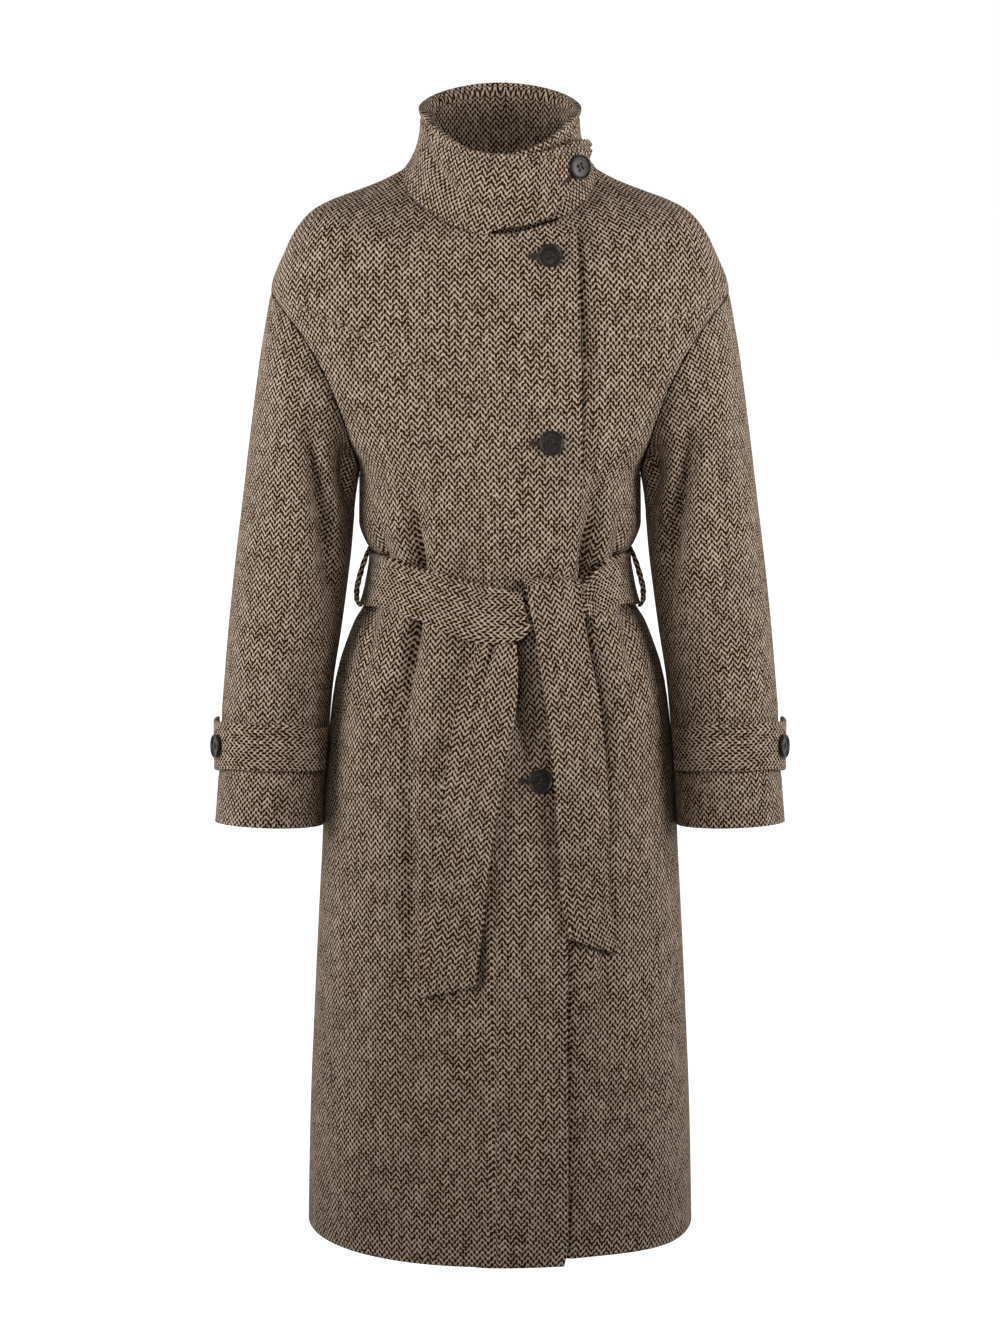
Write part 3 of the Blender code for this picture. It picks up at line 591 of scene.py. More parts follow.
def stripUv(place, alongA):  # straight grain along a strip, from its middle line
    def spot(along, across):
        return place(along, across) if alongA else place(across, along)

    shares = np.linspace(0, 1, opening["samples"])
    middle = spot(shares, np.full_like(shares, 0.5))
    forward = np.gradient(middle, axis=0)
    forward = forward / np.linalg.norm(forward, axis=1, keepdims=True)
    length = np.concatenate(([0.0], np.cumsum(np.linalg.norm(np.diff(middle, axis=0), axis=1))))

    def uvOf(a, b):
        along, across = (a, b) if alongA else (b, a)
        centre = np.stack([np.interp(along, shares, middle[:, k]) for k in range(3)], -1)
        ahead = np.stack([np.interp(along, shares, forward[:, k]) for k in range(3)], -1)
        offset = spot(along, across) - centre
        skew = np.sum(offset * ahead, -1)
        aside = np.linalg.norm(offset - skew[:, None] * ahead, axis=-1) * np.sign(across - 0.5)
        return aside + 1j * (np.interp(along, shares, length) + skew)

    return uvOf


def flatSize(bm, weave):  # width, length and area of the cut, read from the opened pattern
    spots = np.array([loop[weave].uv[:] for face in bm.faces for loop in face.loops])
    corners = spots.reshape(-1, 4, 2)
    diagonalA, diagonalB = corners[:, 2] - corners[:, 0], corners[:, 3] - corners[:, 1]
    area = np.abs(diagonalA[:, 0] * diagonalB[:, 1] - diagonalA[:, 1] * diagonalB[:, 0]).sum() / 2
    return np.ptp(spots, axis=0), area


def clothPiece(name, columns, rows, place, uvOf, wall, held, material=tweedCloth, slot="tweed", closed=False,
               rim=turnedEdge["rim"], thickness=None):
    bm, a, b = newGrid(columns, rows)
    points = place(a, b)
    outwards = place(a, b, 0.001) - points
    moveTo(bm, points)
    bm.normal_update()
    if sum(vert.normal.dot(outwards[k]) for k, vert in enumerate(bm.verts)) < 0:
        bmesh.ops.reverse_faces(bm, faces=bm.faces[:])
    (width, length), area = flatSize(bm, layWeave(bm, uvOf(a, b)))
    for face in bm.faces:
        face.smooth = True
    if thickness:
        share = thickness(a, b)
        shares = bm.verts.layers.deform.new()
        for k, vert in enumerate(bm.verts):
            vert[shares][0] = share[k]
    if closed:
        bmesh.ops.remove_doubles(bm, verts=bm.verts[:], dist=cut["merge"])
    piece = newObject(plainName(name), bm, material)
    thick = piece.modifiers.new("wall", "SOLIDIFY")
    thick.thickness, thick.offset = wall, -1.0
    if thickness:
        piece.vertex_groups.new(name="wallShare")
        thick.vertex_group = "wallShare"
    turned = piece.modifiers.new("turnedEdge", "BEVEL")
    turned.width, turned.segments = rim, turnedEdge["segments"]
    turned.limit_method, turned.angle_limit = "ANGLE", turnedEdge["angle"]
    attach(piece, "root")
    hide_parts(name)
    print(f"{name}: cut {width:.3f} x {length:.3f} m, {area:.4f} m2")


def meshPiece(name, bm, material, nodes=()):
    for face in bm.faces:
        face.smooth = True
    piece = newObject(plainName(name), bm, material)
    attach(piece, "root")
    if nodes:
        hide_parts(*nodes)
    print(f"{name}: made")


# Panels
panel = {
    "fineRows": 4, "lapShare": 6 / 16, "leftLapShare": 6 / 15, "flatColumns": 36,
    "shoulderRows": 7, "waistRows": 3, "skirtRows": 9,
    "straight": (0.09, -0.12), "elsewhere": 0.001,  # where the warp runs straight, weight of the rest
}


def armholeV(share):
    return vTip + (vUnderarm - vTip) * (1 - np.cos(math.pi * share)) / 2


def panelRows(hem):
    first, last = armhole["underarmRow"], armhole["waistEndRow"]
    rows = list(np.linspace(bodyV[0], vTip, panel["shoulderRows"])[:-1])
    rows += list(armholeV(np.linspace(0, 1, armhole["steps"] + 1))[:-1])
    for row in range(first, last):
        rows += list(np.linspace(bodyV[row], bodyV[row + 1], panel["waistRows"])[:-1])
    return np.array(rows + list(np.linspace(bodyV[last], float(vAt(0.0, hem)), panel["skirtRows"])))


def sideAngle(v):
    share = np.clip((v - vTip) / (vUnderarm - vTip), 0, 1)
    return math.pi / 2 - armhole["dip"] * np.sin(np.arccos(1 - 2 * share))


def insetAngle(v):
    edge = sideAngle(v)
    return edge - cut["seamLine"] / np.linalg.norm(body(edge, v)[..., :2], axis=-1)


def overEdgeAngle(v):
    z = np.clip(body(lapping["readAt"], v, folded=False)[..., 2], overEdge[-1][0], overEdge[0][0])
    return angleAt(tableAt(overEdge, z), v)


def creasedBody(angle, v, out=0.0):
    angle, v = arrays(angle, v)
    middle = np.where(np.cos(angle) >= 0, 0.0, math.pi)
    toSeam = (sideAngle(v) - np.abs(angle - middle)) * cut["girth"]
    return body(angle, v, out - seamDip(toSeam), creased=True)


def edgeRoll(x, z):
    clearOfBelt = ease(*lapping["aboveBelt"], z) + 1 - ease(*lapping["belowBelt"], z)
    clearOfCollar = 1 - ease(*lapping["nearCollar"], z)
    return lapping["roll"] * ease(*lapping["rollFrom"], x) * clearOfBelt * clearOfCollar


def overFront(angle, v, out=0.0):
    base = creasedBody(angle, v)
    lift = lapLift(base[..., 0]) + edgeRoll(base[..., 0], base[..., 2]) + out
    return base + normalAt(creasedBody, angle, v, "cloth") * lift[..., None]


def alongTwo(a, split, start, middle, end):  # from start to middle, and on to end
    return np.where(a < split, start + (middle - start) * a / split,
                    middle + (end - middle) * (a - split) / (1 - split))


def rowV(rows, b):
    return np.interp(b * (len(rows) - 1), np.arange(len(rows)), rows)


def panelAngles(kind, a, v):
    side = insetAngle(v)
    if kind == "back":
        return math.pi - side + 2 * side * a
    inner, edge = angleAt(lapping["underEdge"], v), overEdgeAngle(v)
    if kind == "right":
        return alongTwo(a, 1 - panel["lapShare"], -side, inner, edge)
    return alongTwo(a, panel["leftLapShare"], inner, edge, side)


def hemDrop(angle, v, vHem):  # the under front's hem falls towards the side seam
    skirt = bodyV[armhole["waistEndRow"]]
    return cut["hemDrop"] * ease(*cut["hemDropFrom"], angle) * np.clip(v - skirt, 0, None) / (vHem - skirt)


def makePanel(name, kind, hem, columns):
    rows = panelRows(hem)
    surface = overFront if kind == "right" else creasedBody

    def place(a, b, out=0.0):
        v = rowV(rows, b)
        angle = panelAngles(kind, a, v)
        if kind == "left":
            deep, halfWidth = lapping["press"]
            out = out - deep * bell((angle - overEdgeAngle(v)) * cut["girth"], halfWidth)
            v = v + hemDrop(angle, v, rows[-1])
        return surface(angle, v, out)

    def grain(a, b):
        at = place(a, b)
        halfWidth, top = panel["straight"]
        across = at[:, 0] if kind != "back" else -at[:, 0]
        weight = bell(at[:, 0], halfWidth) * (at[:, 2] < top) + panel["elsewhere"]
        return across + 1j * at[:, 2], weight

    spans = len(rows) - 1
    uvOf = flattenedUv(place, panel["flatColumns"], 2 * spans, grain)
    clothPiece(name, columns, spans * panel["fineRows"], place, uvOf, cut["wall"], "hung")


makePanel("front_right", "right", cut["hemOver"], 174)
makePanel("front_left", "left", cut["hemUnder"], 156)
makePanel("back", "back", cut["hemBack"], 108)


# Sleeves, with the line of the cuff strap that presses into them
strapCut = {
    "from": math.radians(160), "to": math.radians(-14), "clear": 0.0007, "top": -0.5413, "bottom": -0.5897,
    "outerDroop": (0.0075, 0.01), "innerDroop": (0.011, 0.006), "lift": 0.004, "press": (0.0034, 0.0036),
    "outerFrom": math.radians(60), "innerFrom": math.radians(100), "liftFrom": math.radians(40),
    "topPress": 0.6, "pressIn": 0.2, "grid": (110, 18),
}
sleeveCut = {"ease": 0.07, "flatGrid": (32, 40), "grid": (108, 210), "grain": (0.42, 0.3, 0.2, 0.001)}
sleeveV = np.concatenate(([0.0], sleeveCut["ease"] + sideLengths(sleeveRows[:, 0], sleeveRows[:, 1])))


def armholeLine(turn):
    wrapped = np.abs((turn + math.pi) % (2 * math.pi) - math.pi)
    v = armholeV(wrapped / math.pi)
    angle = sideAngle(v)
    return body(np.where(np.sin(turn) < 0, math.pi - angle, angle), v, folded=False)


def sleeveRings(turn):
    rings = [armholeLine(turn)]
    across = np.cos(turn)
    for outerX, outerZ, innerX, innerZ, middleY, halfY, frontRise in sleeveRows:
        x = (outerX + innerX) / 2 + across * (outerX - innerX) / 2
        z = (outerZ + innerZ) / 2 + across * (outerZ - innerZ) / 2 + frontRise * np.sin(turn)
        rings.append(np.stack((x, middleY - np.sin(turn) * halfY, z), -1))
    return np.array(rings)


def strapEdges(turn):
    outer = ease(strapCut["outerFrom"], 0.0, turn)
    inner = ease(strapCut["innerFrom"], strapCut["from"], turn)
    return tuple(strapCut[edge] - strapCut["outerDroop"][k] * outer - strapCut["innerDroop"][k] * inner
                 for k, edge in enumerate(("top", "bottom")))


def strapPress(turn, z):  # the sleeve sinks along both edges of the strap
    deep, halfWidth = strapCut["press"]
    inFront = ease(strapCut["from"] + strapCut["pressIn"], strapCut["from"], turn)
    top, bottom = strapEdges(turn)
    return deep * inFront * (bell(z - bottom, halfWidth) + strapCut["topPress"] * bell(z - top, halfWidth))


def ringPlace(rings, v):
    return np.stack([curveAt(sleeveV, rings[:, :, axis], v) for axis in range(3)], -1)


def sleeve(turn, v, out=0.0, creased=True):
    turn, v = arrays(turn, v)
    shape = turn.shape
    turn, v = turn.ravel(), v.ravel()
    at, opposite = (ringPlace(sleeveRings(start), v) for start in (turn, turn + math.pi))
    swing = (turn - sleeveFold["troughAt"] - sleeveFold["swing"] * v + math.pi) % (2 * math.pi) - math.pi
    trough = sleeveFold["trough"] * bell(swing, sleeveFold["spread"])
    trough = trough * ease(*sleeveFold["fadeIn"], v) * (1 - ease(*sleeveFold["fadeOut"], v))
    if creased:
        trough = trough + sleeveCreases(turn, v) * ease(*sleeveFold["creaseIn"], v)
        trough = trough + seamDip(v) + strapPress(turn, at[:, 2])
    outwards = at - (at + opposite) / 2
    outwards = outwards / np.linalg.norm(outwards, axis=-1, keepdims=True)
    return (at + outwards * (out - trough)[:, None]).reshape(*shape, 3)


# Creases of the sleeve: turn and length at each end, depth, half width in metres
sleeveCreaseTable = (
    (1.3, 0.06, 2.05, 0.28, -0.0035, 0.012),
    (1.95, 0.03, 2.75, 0.25, -0.003, 0.01),
    (1.62, 0.04, 2.46, 0.28, 0.0075, 0.0075),
    (2.00, -0.03, 2.95, 0.13, 0.016, 0.014),
    (0.7, 0.2, 1.6, 0.3, 0.0016, 0.012),
    (0.55, 0.31, 1.9, 0.36, 0.0018, 0.012),
    (1.3, 0.38, 2.3, 0.33, -0.0016, 0.012),
    (4.1, 0.08, 4.6, 0.3, 0.004, 0.016),
    (5.00, 0.22, 4.2, 0.34, 0.0025, 0.014),
)


def sleeveCreases(turn, v):
    girth = sleeveFold["girth"]
    lines = [(turn0 * girth, v0, turn1 * girth, v1, *size)
             for turn0, v0, turn1, v1, *size in sleeveCreaseTable]
    return foldDepth(lines, turn * girth, v)


def mirrored(points, side):
    return points * np.array((side, 1, 1))


def makeSleeve(name, side):
    def place(a, b, out=0.0):  # the grid opens along the inner seam
        turn = -math.pi + 2 * math.pi * a
        v = blend(cut["seamLine"], sleeveV[-1], b)
        return mirrored(sleeve(turn % (2 * math.pi), v, out), side)

    def grain(a, b):
        width, halfWidth, top, elsewhere = sleeveCut["grain"]
        weight = bell(a - 0.5, halfWidth) * (b > top) + elsewhere
        return side * (a - 0.5) * width - 1j * b * sleeveV[-1], weight

    uvOf = flattenedUv(place, *sleeveCut["flatGrid"], grain)
    clothPiece(name, *sleeveCut["grid"], place, uvOf, cut["wall"], "hung", closed=True)


makeSleeve("sleeve_right", -1)
makeSleeve("sleeve_left", 1)


# Collar: heights are shares of the band, and places round the neck are in degrees
collarCut = {
    "front": (0.085, 0.0234), "side": (0.08, 0.069), "back": (0.078, 0.0945), "backBend": 1.3,
    "start": -3.0, "round": 360.0, "roundShare": 5 / 6, "lift": (315.0, 350.0), "slit": 0.0075,
    "slitFrom": (348.0, 364.0), "standOff": 0.009, "standFrom": (392.0, 432.0),
    "end": ((0.0, 393.0), (0.15, 401.0), (0.4, 413.0), (0.7, 430.0), (0.85, 433.0), (1.0, 424.0)),
    "drop": ((360.0, 0.0), (370.0, 0.002), (395.0, 0.01), (415.0, 0.017), (424.0, 0.023), (433.0, 0.031)),
    "crease": (0.006, 0.1), "creaseLine": (0.62, 0.28), "creaseSinks": (285.0, 360.0),
    "creaseIn": (280.0, 305.0), "creaseOut": (355.0, 385.0),
    "rim": 0.0016, "rimFrom": (0.87, 0.95), "stitch": (0.866, 0.03, 0.0024),
    "recess": (0.014, 0.3), "recessOut": (30.0, 48.0),  # depth and height of the hollow behind the tab
    "walls": (0.8, 0.36, 0.2), "grain": (0.088, 0.085), "flatGrid": (72, 8), "grid": (240, 72),
    "edge": 0.0022,
}


def collar(degrees, share, out=0.0, rolled=False):
    degrees, share = arrays(degrees, share)
    angle = np.radians(degrees)
    s, c = np.sin(angle), np.cos(angle)
    base = body(angle, 0.0, folded=False)
    baseRadius = np.linalg.norm(base[..., :2], axis=-1)
    isFront = c >= 0
    farY, farZ = (np.where(isFront, *pair) for pair in zip(collarCut["front"], collarCut["back"]))
    sideX, sideZ = collarCut["side"]
    topRadius = ovalRadius(s, c, sideX, farY)
    topZ = blend(sideZ, farZ, np.where(isFront, c * c, np.abs(c) ** collarCut["backBend"]))
    bottomZ = base[..., 2] + cut["seam"] + collarCut["slit"] * ease(*collarCut["slitFrom"], degrees)
    radius = blend(topRadius, baseRadius, (1 - share) ** 3)
    radius = radius + ease(*collarCut["lift"], degrees) * (cut["collarWall"] + cut["clear"]) + out
    past = degrees > collarCut["round"]
    dropAt = np.clip(degrees, collarCut["drop"][0][0], collarCut["drop"][-1][0])
    topZ = topZ - np.where(past, tableAt(collarCut["drop"], dropAt), 0)
    radius = radius + np.where(past, collarCut["standOff"] * ease(*collarCut["standFrom"], degrees), 0)
    # A soft crease sinks from the side towards the middle of the front
    deep, halfWidth = collarCut["crease"]
    line = blend(*collarCut["creaseLine"], ease(*collarCut["creaseSinks"], degrees))
    fade = ease(*collarCut["creaseIn"], degrees) * (1 - ease(*collarCut["creaseOut"], degrees))
    radius = radius - deep * fade * bell(share - line, halfWidth)
    if rolled:
        deep, high = collarCut["recess"]
        radius = radius - deep * (1 - ease(0.0, high, share)) * (1 - ease(*collarCut["recessOut"], degrees))
        at, halfWidth, deep = collarCut["stitch"]
        radius = radius - deep * bell(share - at, halfWidth)
        radius = radius + collarCut["rim"] * ease(*collarCut["rimFrom"], share)
    return np.stack((radius * s, -radius * c, blend(bottomZ, topZ, share)), -1)


def makeCollar():
    def spot(a, b):
        start, end = collarCut["start"], tableAt(collarCut["end"], b)
        return alongTwo(a, collarCut["roundShare"], start, collarCut["round"] + start, end)

    def place(a, b, out=0.0):
        return collar(spot(a, b), b, out, rolled=True)

    def thickness(a, b):  # thinner along the stitched line, full at the rolled rim
        at, halfWidth, _ = collarCut["stitch"]
        plain, thinner, thicker = collarCut["walls"]
        return plain - thinner * bell(b - at, halfWidth) + thicker * ease(at, collarCut["rimFrom"][1], b)

    def grain(a, b):
        radius, height = collarCut["grain"]
        return np.radians(spot(a, b)) * radius + 1j * b * height, np.ones_like(a)

    uvOf = flattenedUv(place, *collarCut["flatGrid"], grain)
    clothPiece("collar", *collarCut["grid"], place, uvOf, cut["collarWall"], "folded", rim=collarCut["edge"],
               thickness=thickness)


makeCollar()


# Belt, straps and loops. The belt's edges have degrees round the waist, then the heights of top and bottom
layerOne = cut["beltClear"] + cut["bandWall"]
layerTwo = layerOne + cut["clear"] + cut["bandWall"]
beltCut = {
    "edges": inMetres((
        (-374, -408.5, -436.5), (-370, -405.2, -447), (-366, -402, -452), (-353, -397, -455),
        (-339, -390, -446), (-322, -383.7, -434.5), (-306, -377.5, -426.5), (-270, -379, -432),
        (-180, -374, -426), (-90, -379, -432), (-60, -376.5, -424), (-45, -382.5, -427.5),
        (-40.5, -390, -430), (-37, -399, -432), (-17.5, -399.5, -434)), plain=0),
    "end": -373.0, "endSlant": 4.0, "slantShare": 0.06, "start": -17.5, "grid": (300, 18),
    "overlapEnds": -300, "rise": (-0.075, -0.042), "drawn": (-66.0, -36.0),  # the knot draws this stretch in
    # Height at the knot and farther out, half width, depth
    "pulls": ((0.3, 0.5, 0.09, 0.003), (0.78, 0.62, 0.1, 0.0024)),
}


def beltBand(degrees, share, out=0.0):
    angle = np.radians(-degrees)
    top, low = tableAt(beltCut["edges"], degrees, 1), tableAt(beltCut["edges"], degrees, 2)
    v = vAt(angle, blend(top, low, share))
    flat = body(angle, v, folded=False)
    raised = layerOne + np.where(flat[..., 1] < 0, lapCover(flat[..., 0]), 0)
    overlap = (layerTwo - layerOne) * ease(*beltCut["rise"], flat[..., 0])
    raised = raised + np.where(degrees < beltCut["overlapEnds"], overlap, 0)
    drawn = ease(*beltCut["drawn"], degrees)
    for nearKnot, farther, halfWidth, deep in beltCut["pulls"]:
        raised = raised - deep * drawn * bell(share - blend(farther, nearKnot, drawn), halfWidth)
    return body(angle, v, raised + out, folded=False)


def bandPiece(name, grid, place, held, alongA=True):
    clothPiece(name, *grid, place, stripUv(place, alongA), cut["bandWall"], held, rim=cut["bandEdge"])


def makeBelt():
    def place(a, b, out=0.0):
        slant = np.clip(1 - a / beltCut["slantShare"], 0, 1) * beltCut["endSlant"] * (1 - b)
        return beltBand(blend(beltCut["end"], beltCut["start"], a) + slant, b, out)

    bandPiece("belt", beltCut["grid"], place, "folded")


makeBelt()

# Edges have a height, then x at the left and at the right. Pleats have a place, a half width and a depth
tailRight = {
    "edges": inMetres((
        (-424, -13, 12), (-452.6, -17.5, 14.5), (-482.8, -29.5, 16.5), (-500, -35, 16), (-560, -48.5, 8),
        (-655, -60, -7.5), (-719, -69, -14.5), (-795, -79, -24))),
    "slant": (-0.015, 0.0), "hook": 0.0, "rise": None,
    "pleats": ((0.36, 0.07, 0.0045), (0.14, 0.08, -0.0016), (0.56, 0.1, -0.002), (0.82, 0.1, 0.0024)),
    "pleatEnd": (-0.55, -0.445), "standOff": 0.004,
}
tailLeft = {
    "edges": inMetres((
        (-398, 22.2, 72.5), (-422, 27, 74.3), (-445, 31.8, 77.5), (-470.8, 35.2, 81.5), (-501, 39.2, 88),
        (-551, 44.7, 94.5), (-595, 48.5, 98.5), (-668.5, 54.6, 102.5), (-732.6, 61.7, 111.5),
        (-749, 65, 117))),
    "slant": (0.0, -0.0215), "hook": 0.007, "rise": (-0.72, -0.63),  # where it climbs to the second layer
    "pleats": ((0.86, 0.1, 0.0022), (0.62, 0.14, -0.0008)), "pleatEnd": (-0.48, -0.41), "standOff": 0.003,
}
tailCut = {"hookShare": 0.05, "hookTurn": math.radians(112), "bulge": 0.7, "grid": (30, 150)}


def makeTail(name, tail):
    top, low = tail["edges"][0][0], tail["edges"][-1][0]
    hookShare = tailCut["hookShare"] if tail["hook"] else 0.0

    def place(a, b, out=0.0):
        down = np.clip((b - hookShare) / (1 - hookShare), 0, 1)
        z = blend(top, low, down)
        left, right = tableAt(tail["edges"], z, 1), tableAt(tail["edges"], z, 2)
        raised = layerOne + tail["standOff"] * np.sin(math.pi * down) ** tailCut["bulge"] + out
        if tail["rise"]:
            raised = raised + (layerTwo - layerOne) * ease(*tail["rise"], z)
        gathered = ease(*tail["pleatEnd"], z)
        for at, halfWidth, deep in tail["pleats"]:
            raised = raised - deep * gathered * bell(a - at, halfWidth)
        if hookShare:
            turn = tailCut["hookTurn"] * np.clip(1 - b / hookShare, 0, 1)
            raised = raised + (tail["hook"] + out) * (np.cos(turn) - 1)
            z = z + (tail["hook"] + out) * np.sin(turn)
        z = z + down ** 3 * blend(*tail["slant"], a)
        return frontPlace(blend(left, right, a), z, raised)

    bandPiece(name, tailCut["grid"], place, "hung", alongA=False)


makeTail("belt_tail_right", tailRight)
makeTail("belt_tail_left", tailLeft)


def sleeveVAt(turn, z):
    return solve(lambda v: -sleeve(turn, v, creased=False)[..., 2], 0.0, sleeveV[-1], -z)


def onStrap(turn, share, out=0.0):
    top, bottom = strapEdges(turn)
    lift = strapCut["lift"] * (1 - share) * ease(strapCut["liftFrom"], strapCut["to"], turn)
    v = sleeveVAt(turn, blend(top, bottom, share))
    return sleeve(turn, v, strapCut["clear"] + cut["bandWall"] + lift + out, creased=False)


def makeStrap(name, side):
    def place(a, b, out=0.0):
        return mirrored(onStrap(blend(strapCut["from"], strapCut["to"], a), b, out), side)

    bandPiece(name, strapCut["grid"], place, "laid")


makeStrap("cuff_strap_right", -1)
makeStrap("cuff_strap_left", 1)

loopCut = {
    "line": inMetres(((133, -374.5), (136.6, -383), (141.2, -396), (144.8, -409), (147, -420), (147, -429),
                      (143.2, -436.5))),
    "width": 0.0064, "wall": 0.006, "endShare": 0.75, "grid": (20, 90),
    "ply": 0.1, "twist": 46, "cut": (0.016, 0.075), "skew": 0.006,
}


def makeLoop(name, side):
    # A strip of the cloth rolled into a cord and sewn down at both ends
    lineX, lineZ = np.array(loopCut["line"]).T
    steps = np.arange(len(lineX), dtype=float)
    bm, a, b = newGrid(*loopCut["grid"])
    turn, t = 2 * math.pi * a, b * steps[-1]
    ply = 1 + loopCut["ply"] * np.cos(2 * turn + loopCut["twist"] * b)
    half = loopCut["wall"] / 2 * blend(loopCut["endShare"], 1, np.sin(math.pi * b))
    x = curveAt(steps, lineX, t) + np.cos(turn) * ply * half
    y = np.sin(turn) * ply * loopCut["width"] / 2
    moveTo(bm, np.stack((side * x, y, curveAt(steps, lineZ, t)), -1))
    width, length = loopCut["cut"]
    layWeave(bm, a * width + 1j * (b * length + a * loopCut["skew"]))
    bmesh.ops.remove_doubles(bm, verts=bm.verts[:], dist=cut["merge"])
    bmesh.ops.holes_fill(bm, edges=[edge for edge in bm.edges if edge.is_boundary], sides=0)
    bmesh.ops.recalc_face_normals(bm, faces=bm.faces[:])
    meshPiece(name, bm, tweedCloth, [name])


makeLoop("belt_loop_right", -1)
makeLoop("belt_loop_left", 1)

liningCut = {"from": math.radians(130), "to": math.radians(230), "top": 0.003, "bottom": 0.03, "wall": 0.001,
             "cut": (0.115, 0.027), "edge": 0.0003, "grid": (60, 14)}


def makeLining():
    width, length = liningCut["cut"]

    def place(a, b, out=0.0):
        angle = blend(liningCut["from"], liningCut["to"], a)
        v = blend(liningCut["top"], liningCut["bottom"], b)
        return body(angle, v) - normalAt(body, angle, v, "cloth") * (cut["wall"] + cut["clear"] - out)

    clothPiece("lining_back_neck", *liningCut["grid"], place, lambda a, b: a * width + 1j * b * length,
               liningCut["wall"], "laid", liningSatin, "lining_satin", rim=liningCut["edge"])


makeLining()


# Buttons with thread through their holes. The profile has shares of radius and height
buttonCut = {
    "radius": 0.0125, "height": 0.0042, "holeRadius": 0.00135, "holeOffset": 0.0023, "sides": 64,
    "holeSides": 20,
    "profile": ((0.0, 0.0), (0.7, 0.0), (0.9, 0.1), (0.98, 0.3), (1.0, 0.52), (0.985, 0.78), (0.95, 0.93),
                (0.91, 1.0), (0.87, 0.97), (0.83, 0.82), (0.8, 0.6), (0.75, 0.53), (0.69, 0.58),
                (0.4, 0.61), (0.0, 0.6)),
    "drill": 0.02, "threadRadius": 0.0003, "threadSides": 8, "threadShift": 0.00025, "threadLevel": 0.62,
    "threadProud": 0.0002, "legPast": 0.0008, "legDown": 0.0001,
}
holeSides = (-buttonCut["holeOffset"], buttonCut["holeOffset"])


def addCylinder(bm, radius, depth, sides, where):
    rod = bmesh.ops.create_cone(bm, cap_ends=True, segments=sides, radius1=radius, radius2=radius,
                                depth=depth)
    bmesh.ops.transform(bm, matrix=where, verts=rod["verts"])


def drilledDisc():
    size = buttonCut
    bm = bmesh.new()
    line = [bm.verts.new((r * size["radius"], 0, z * size["height"])) for r, z in size["profile"]]
    edges = [bm.edges.new(pair) for pair in zip(line, line[1:])]
    bmesh.ops.spin(bm, geom=line + edges, cent=(0, 0, 0), axis=(0, 0, 1), angle=2 * math.pi,
                   steps=size["sides"], use_merge=True)
    bmesh.ops.remove_doubles(bm, verts=bm.verts[:], dist=cut["merge"])
    bmesh.ops.recalc_face_normals(bm, faces=bm.faces[:])
    disc = newObject("blank", bm)
    drill = bmesh.new()
    for x in holeSides:
        for y in holeSides:
            where = Matrix.Translation((x, y, 0))
            addCylinder(drill, size["holeRadius"], size["drill"], size["holeSides"], where)
    pins = newObject("drill", drill)
    cutHoles = disc.modifiers.new("holes", "BOOLEAN")
    cutHoles.operation, cutHoles.solver, cutHoles.object = "DIFFERENCE", "EXACT", pins
    bpy.context.view_layer.update()
    drilled = disc.evaluated_get(bpy.context.evaluated_depsgraph_get()).to_mesh()
    bm = bmesh.new()
    bm.from_mesh(drilled)
    for thing in (disc, pins):
        bpy.data.objects.remove(thing)
    return bm


def makeButton(name, place, normal, roll):
    normal = Vector(normal)
    turned = normal.to_track_quat("Z", "Y").to_matrix().to_4x4()
    where = Matrix.Translation(Vector(place) + normal * cut["seam"]) @ turned @ Matrix.Rotation(roll, 4, "Z")
    bm = drilledDisc()
    bm.transform(where)
    meshPiece(name, bm, buttonHorn, [name])
    makeButtonThread(name + "_thread", where)


def makeButtonThread(name, where):
    # Two pairs of stitches beside each other, and their legs down through the holes
    size = buttonCut
    radius, sides = size["threadRadius"], size["threadSides"]
    top = size["height"] * size["threadLevel"]
    lying = Matrix.Rotation(math.pi / 2, 4, "X")
    bm = bmesh.new()
    for hole in holeSides:
        for x in (hole - size["threadShift"], hole + size["threadShift"]):
            across = Matrix.Translation((x, 0, top + size["threadProud"])) @ lying
            addCylinder(bm, radius, 2 * size["holeOffset"], sides, across)
            for y in holeSides:
                down = Matrix.Translation((x, y, top / 2 - size["legDown"]))
                addCylinder(bm, radius, top + size["legPast"], sides, down)
    bm.transform(where)
    meshPiece(name, bm, sewingThread)


buttonPlaces = {
    "front": ((-0.0773, 0.0496), (-0.2567, 0.0501), (-0.5906, 0.0397)),
    "collar": (414.0, 0.55), "tilt": 0.25, "shank": 0.0007, "cuff": (math.radians(24), 0.5),
    "frontRoll": 0.3, "collarRoll": 0.5, "cuffRoll": 0.2,  # how far each is turned on its thread
}


def frontAt(x, z):
    return frontSpot(x, z, 0.0, 4)


def makeButtons():
    for number, (z, x) in enumerate(buttonPlaces["front"], 1):
        spot = frontAt(x, z)
        makeButton(f"button_front_{number}", overFront(*spot), normalAt(overFront, *spot, "button"),
                   buttonPlaces["frontRoll"] * number)
    spot = buttonPlaces["collar"]
    normal = -normalAt(collar, *spot, "collar")
    leaning = normal + np.array((0, -buttonPlaces["tilt"], 0))
    makeButton("button_collar", collar(*spot) + normal * buttonPlaces["shank"],
               leaning / np.linalg.norm(leaning), buttonPlaces["collarRoll"])
    spot = np.array(buttonPlaces["cuff"])
    normal = -normalAt(onStrap, *spot, "strap")
    for word, side in (("right", -1), ("left", 1)):
        makeButton("button_cuff_" + word, mirrored(onStrap(*spot), side), mirrored(normal, side),
                   buttonPlaces["cuffRoll"])


makeButtons()

